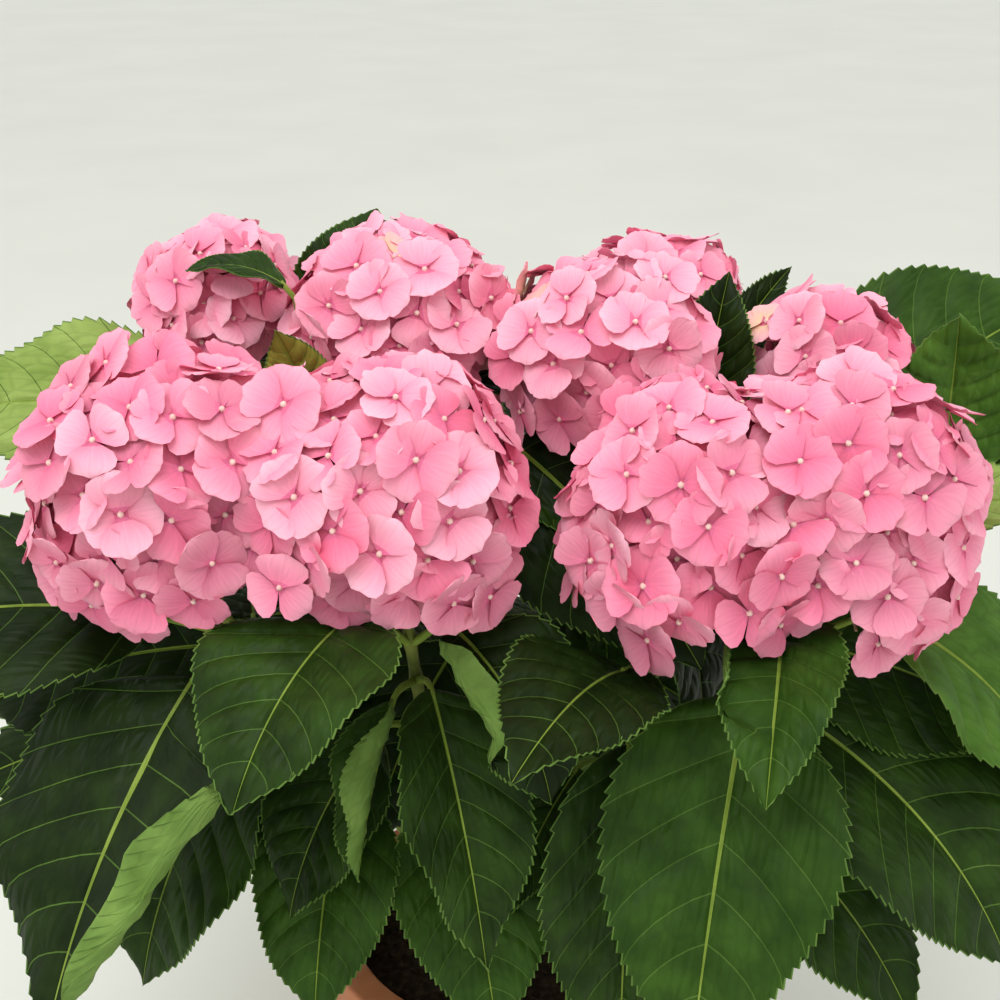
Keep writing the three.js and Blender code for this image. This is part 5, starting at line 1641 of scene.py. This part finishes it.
def parting(shoot, place):
    """How far a place lies past the plane to the next bloom, the way there, and how hard that presses."""
    middle, most, towards, pressed = np.array(shoot["bloom"], float), -math.inf, UP, 0.0
    for other in SHOOTS:
        if other is shoot:
            continue
        between = np.array(other["bloom"], float) - middle
        gap = np.linalg.norm(between)
        own, far = max(shoot["half"]), max(other["half"])
        if gap < own + far + PRESSED_MM:
            plane = (gap ** 2 + own ** 2 - far ** 2) / (2 * gap)
            past = (place - middle).dot(between / gap) - plane
            if past > most:
                most, towards = past, between / gap
                pressed = min(max(own + far - gap, 0) / DEEPLY_PRESSED_MM, 1)
    return most, towards, pressed


print(len(leaf_trees), "leaves for florets to keep clear of")

# %% [markdown]
# Each floret gets a place, a facing, a spin, a size, a kind and a pink. Blooms low on the plant have deeper
# pinks. Florets on a bloom's underside take a muted mauve as painted shade, and all of them turn a little
# towards the light, which comes from above and in front.

# %% Places for the florets
FLORET_STEP_MM2, INNER_STEP_MM2, INNER_DEPTH = 500, 1250, 0.82
BLOOM_UNDERSIDE_ANGLE, FLORET_SEED_START, TILT_WANDER = 117, 40, 0.74
FLORET_SUNK_MM, FLORET_SUNK_WANDER_MM, SINKS_MM, OVERLAP_MM = 4, 10, (0, 6, 12), 2
FLORET_SIZES, INNER_SIZE, SUNK_POWER, LAYER_TURN, JUST_UNDER = (0.93, 0.12), 0.9, 1.5, 5, 0.01
VALLEY_REACH_MM, VALLEY_FILL_MM = 26, 13
GOLDEN_ANGLE = math.pi * (3 - math.sqrt(5))
TO_LIGHT = np.array([0.0, -0.16, 0.12])
# Shares of the pinks, added up from the palest on
LOW_BLOOM_MM, LOW_BLOOM_TONES, HIGH_BLOOM_TONES = 522, [0.14, 0.46, 0.86, 1.0], [0.48, 0.82, 0.92, 0.96]
# The rose of the inner layer and the mauve of the underside are painted shade
INNER_PAINTED_SHADE, UNDERSIDE_PAINTED_SHADE, UNDERSIDE = 2, 3, -0.3


def floret_places(shoot, seed):
    """Place, facing, spin, size, kind and shade of every floret of one bloom."""
    draw = numbers_from(seed)
    upright = Vector((0, 0, 1)).rotation_difference(Vector(bloom_axis(shoot)))
    turn = np.array(upright.to_matrix())
    wide, high = (math.sqrt(reach ** 2 - SEPAL_REACH_MM ** 2) for reach in shoot["half"])
    shape = np.array([wide, wide, high])
    cap = 1 - math.cos(math.radians(BLOOM_UNDERSIDE_ANGLE))
    start, found = next(draw) * 2 * math.pi, []
    tones = LOW_BLOOM_TONES if shoot["bloom"][2] < LOW_BLOOM_MM else HIGH_BLOOM_TONES
    for depth, step in ((1.0, FLORET_STEP_MM2), (INNER_DEPTH, INNER_STEP_MM2)):
        inner = depth < 1
        count = round(cap * 2 * math.pi * wide * high / step)
        for i in range(count):
            down = 1 - cap * (i + 0.5) / count
            ring, around = math.sqrt(1 - down * down), start + depth * LAYER_TURN + GOLDEN_ANGLE * i
            way = turn @ np.array([ring * math.cos(around), ring * math.sin(around), down])
            sunk = FLORET_SUNK_MM + FLORET_SUNK_WANDER_MM * next(draw) ** SUNK_POWER
            outward = unit(unit(way / shape) + TO_LIGHT)
            lean = np.array([next(draw), next(draw), next(draw)]) - 0.5
            spin, pick, kind, size = next(draw), next(draw), next(draw), next(draw)
            surface = shoot["bloom"] + way * shape * fullness(way) * depth
            past, towards, pressed = parting(shoot, surface)
            near = pressed * max(0, 1 + past / VALLEY_REACH_MM)
            outward = unit(outward - towards * outward.dot(towards) * min(near, 1))
            for sink in SINKS_MM:
                place = surface + outward * (VALLEY_FILL_MM * near - sunk - sink)
                if clear_of_leaves(place, SUNK_FLORET_CLEAR_MM if sink else FLORET_CLEAR_MM):
                    break
            else:
                continue
            if past > OVERLAP_MM:
                continue
            # Inner and underside florets take a pink of painted shade; the rest one at random
            shade = INNER_PAINTED_SHADE if inner else UNDERSIDE_PAINTED_SHADE if down < UNDERSIDE else int(np.searchsorted(tones, pick))
            found.append({
                "place": place,
                "facing": unit(outward + lean * TILT_WANDER),
                "spin": spin * 2 * math.pi,
                "size": INNER_SIZE if inner else FLORET_SIZES[0] + FLORET_SIZES[1] * size,
                "kind": int(kind * (len(SEPAL_COUNTS) - JUST_UNDER)),
                "shade": shade,
            })
    return found


FLORETS = {s["name"]: floret_places(s, SEED_STEP * (i + FLORET_SEED_START)) for i, s in enumerate(SHOOTS)}
print(sum(len(rows) for rows in FLORETS.values()), "florets")

# %% [markdown]
# Geometry Nodes put a floret on every point. The points carry the turn, size, kind and shade of their
# floret as attributes. The tree picks the right kind, makes the florets real, and then gives the faces
# of the plain sepal material the pink of their floret's shade.

# %% The tree that sets the florets
tree, given, out, keys = node_tree("florets on points", {"Kinds": "NodeSocketCollection"})
picked = add_node(tree, "GeometryNodeCollectionInfo",
                  values={"Separate Children": True, "Reset Children": True},
                  links={"Collection": given["Kinds"]})
on_point = {}
for label, kind in {"turn": "FLOAT_VECTOR", "size": "FLOAT", "kind": "INT", "shade": "INT"}.items():
    carried = add_node(tree, "GeometryNodeInputNamedAttribute", {"data_type": kind}, {"Name": label})
    on_point[label] = carried.outputs["Attribute"]
turned_way = add_node(tree, "FunctionNodeEulerToRotation", links={0: on_point["turn"]})
on_points = add_node(tree, "GeometryNodeInstanceOnPoints", values={"Pick Instance": True}, links={
    "Points": given["Geometry"], "Instance": picked.outputs["Instances"],
    "Instance Index": on_point["kind"], "Rotation": turned_way.outputs[0], "Scale": on_point["size"],
})
last = add_node(tree, "GeometryNodeRealizeInstances", links={"Geometry": on_points.outputs["Instances"]})
is_sepal = add_node(tree, "GeometryNodeMaterialSelection", values={"Material": SEPALS[0]})
for k in range(len(SEPALS) - 1, -1, -1):
    same = add_node(tree, "FunctionNodeCompare", {"data_type": "INT", "operation": "EQUAL"}, {3: k},
                    {2: on_point["shade"]})
    both = add_node(tree, "FunctionNodeBooleanMath", links={0: same.outputs[0], 1: is_sepal.outputs[0]})
    last = add_node(tree, "GeometryNodeSetMaterial", values={"Material": SEPALS[k]},
                    links={"Geometry": last.outputs[0], "Selection": both.outputs[0]})
tree.links.new(last.outputs[0], out.inputs[0])

print("the tree has", len(tree.nodes), "nodes")

# %% [markdown]
# A floret hangs on a thin stalk that forks off in the bloom's middle and bends up to the floret. The
# stalks show between the florets and from below. Their heap and the florets' mesh are made for the same
# groups of shoots as the leaves.

# %% Blooms, and the stalks under their florets
STALK_BELOW_FLORET_MM, STALK_SAG_MM, STALK_FROM = 14, 6, 0.02
FLORET_STALK = {"start_radius": 1.3, "end_radius": 0.8, "segments": 3, "sides": 4}


def stalk_skins(shoot, rows):
    """The thin stalks from a bloom's fork to its florets."""
    fork = shoot["bloom"] - bloom_axis(shoot) * shoot["half"][1] * STALK_SUNK
    for row in rows:
        end = row["place"] - row["facing"] * STALK_BELOW_FLORET_MM
        knee = (fork + end) / 2 - UP * STALK_SAG_MM
        yield limb_skin([fork, knee, end], STALK_FROM, 1, **FLORET_STALK)


def points_for(rows):
    """A mesh of points, with what the tree needs to know at each."""
    points = bpy.data.meshes.new("floret places")
    points.from_pydata([Vector(row["place"]) * MM for row in rows], [], [])
    turns = []
    for row in rows:
        way = Vector(row["facing"]).to_track_quat("Z", "Y") @ Quaternion((0, 0, 1), row["spin"])
        turns += list(way.to_euler("XYZ"))
    points.attributes.new("turn", "FLOAT_VECTOR", "POINT").data.foreach_set("vector", turns)
    for label, kind in (("size", "FLOAT"), ("kind", "INT"), ("shade", "INT")):
        values = [row[label] for row in rows]
        points.attributes.new(label, kind, "POINT").data.foreach_set("value", values)
    return points


for group, names in GROUPS.items():
    stalks, rows = Heap(), [row for name in names for row in FLORETS[name]]
    for shoot in (s for s in SHOOTS if s["name"] in names):
        for shape in stalk_skins(shoot, FLORETS[shoot["name"]]):
            stalks.add_skin(shape, 0)
    holder = bpy.data.objects.new("floret places", points_for(rows))
    scene.collection.objects.link(holder)
    mesh = grown(holder, tree, keys, {"Kinds": kinds})
    bpy.data.objects.remove(holder)
    nodes = ["bloom_" + name for name in names]
    place_piece(f"blooms_{group}_fine", mesh, nodes)
    place_heap(f"floret_stalks_{group}", stalks, [pink_stalk], nodes)
for each in list(kinds.objects):
    bpy.data.objects.remove(each)
bpy.data.collections.remove(kinds)
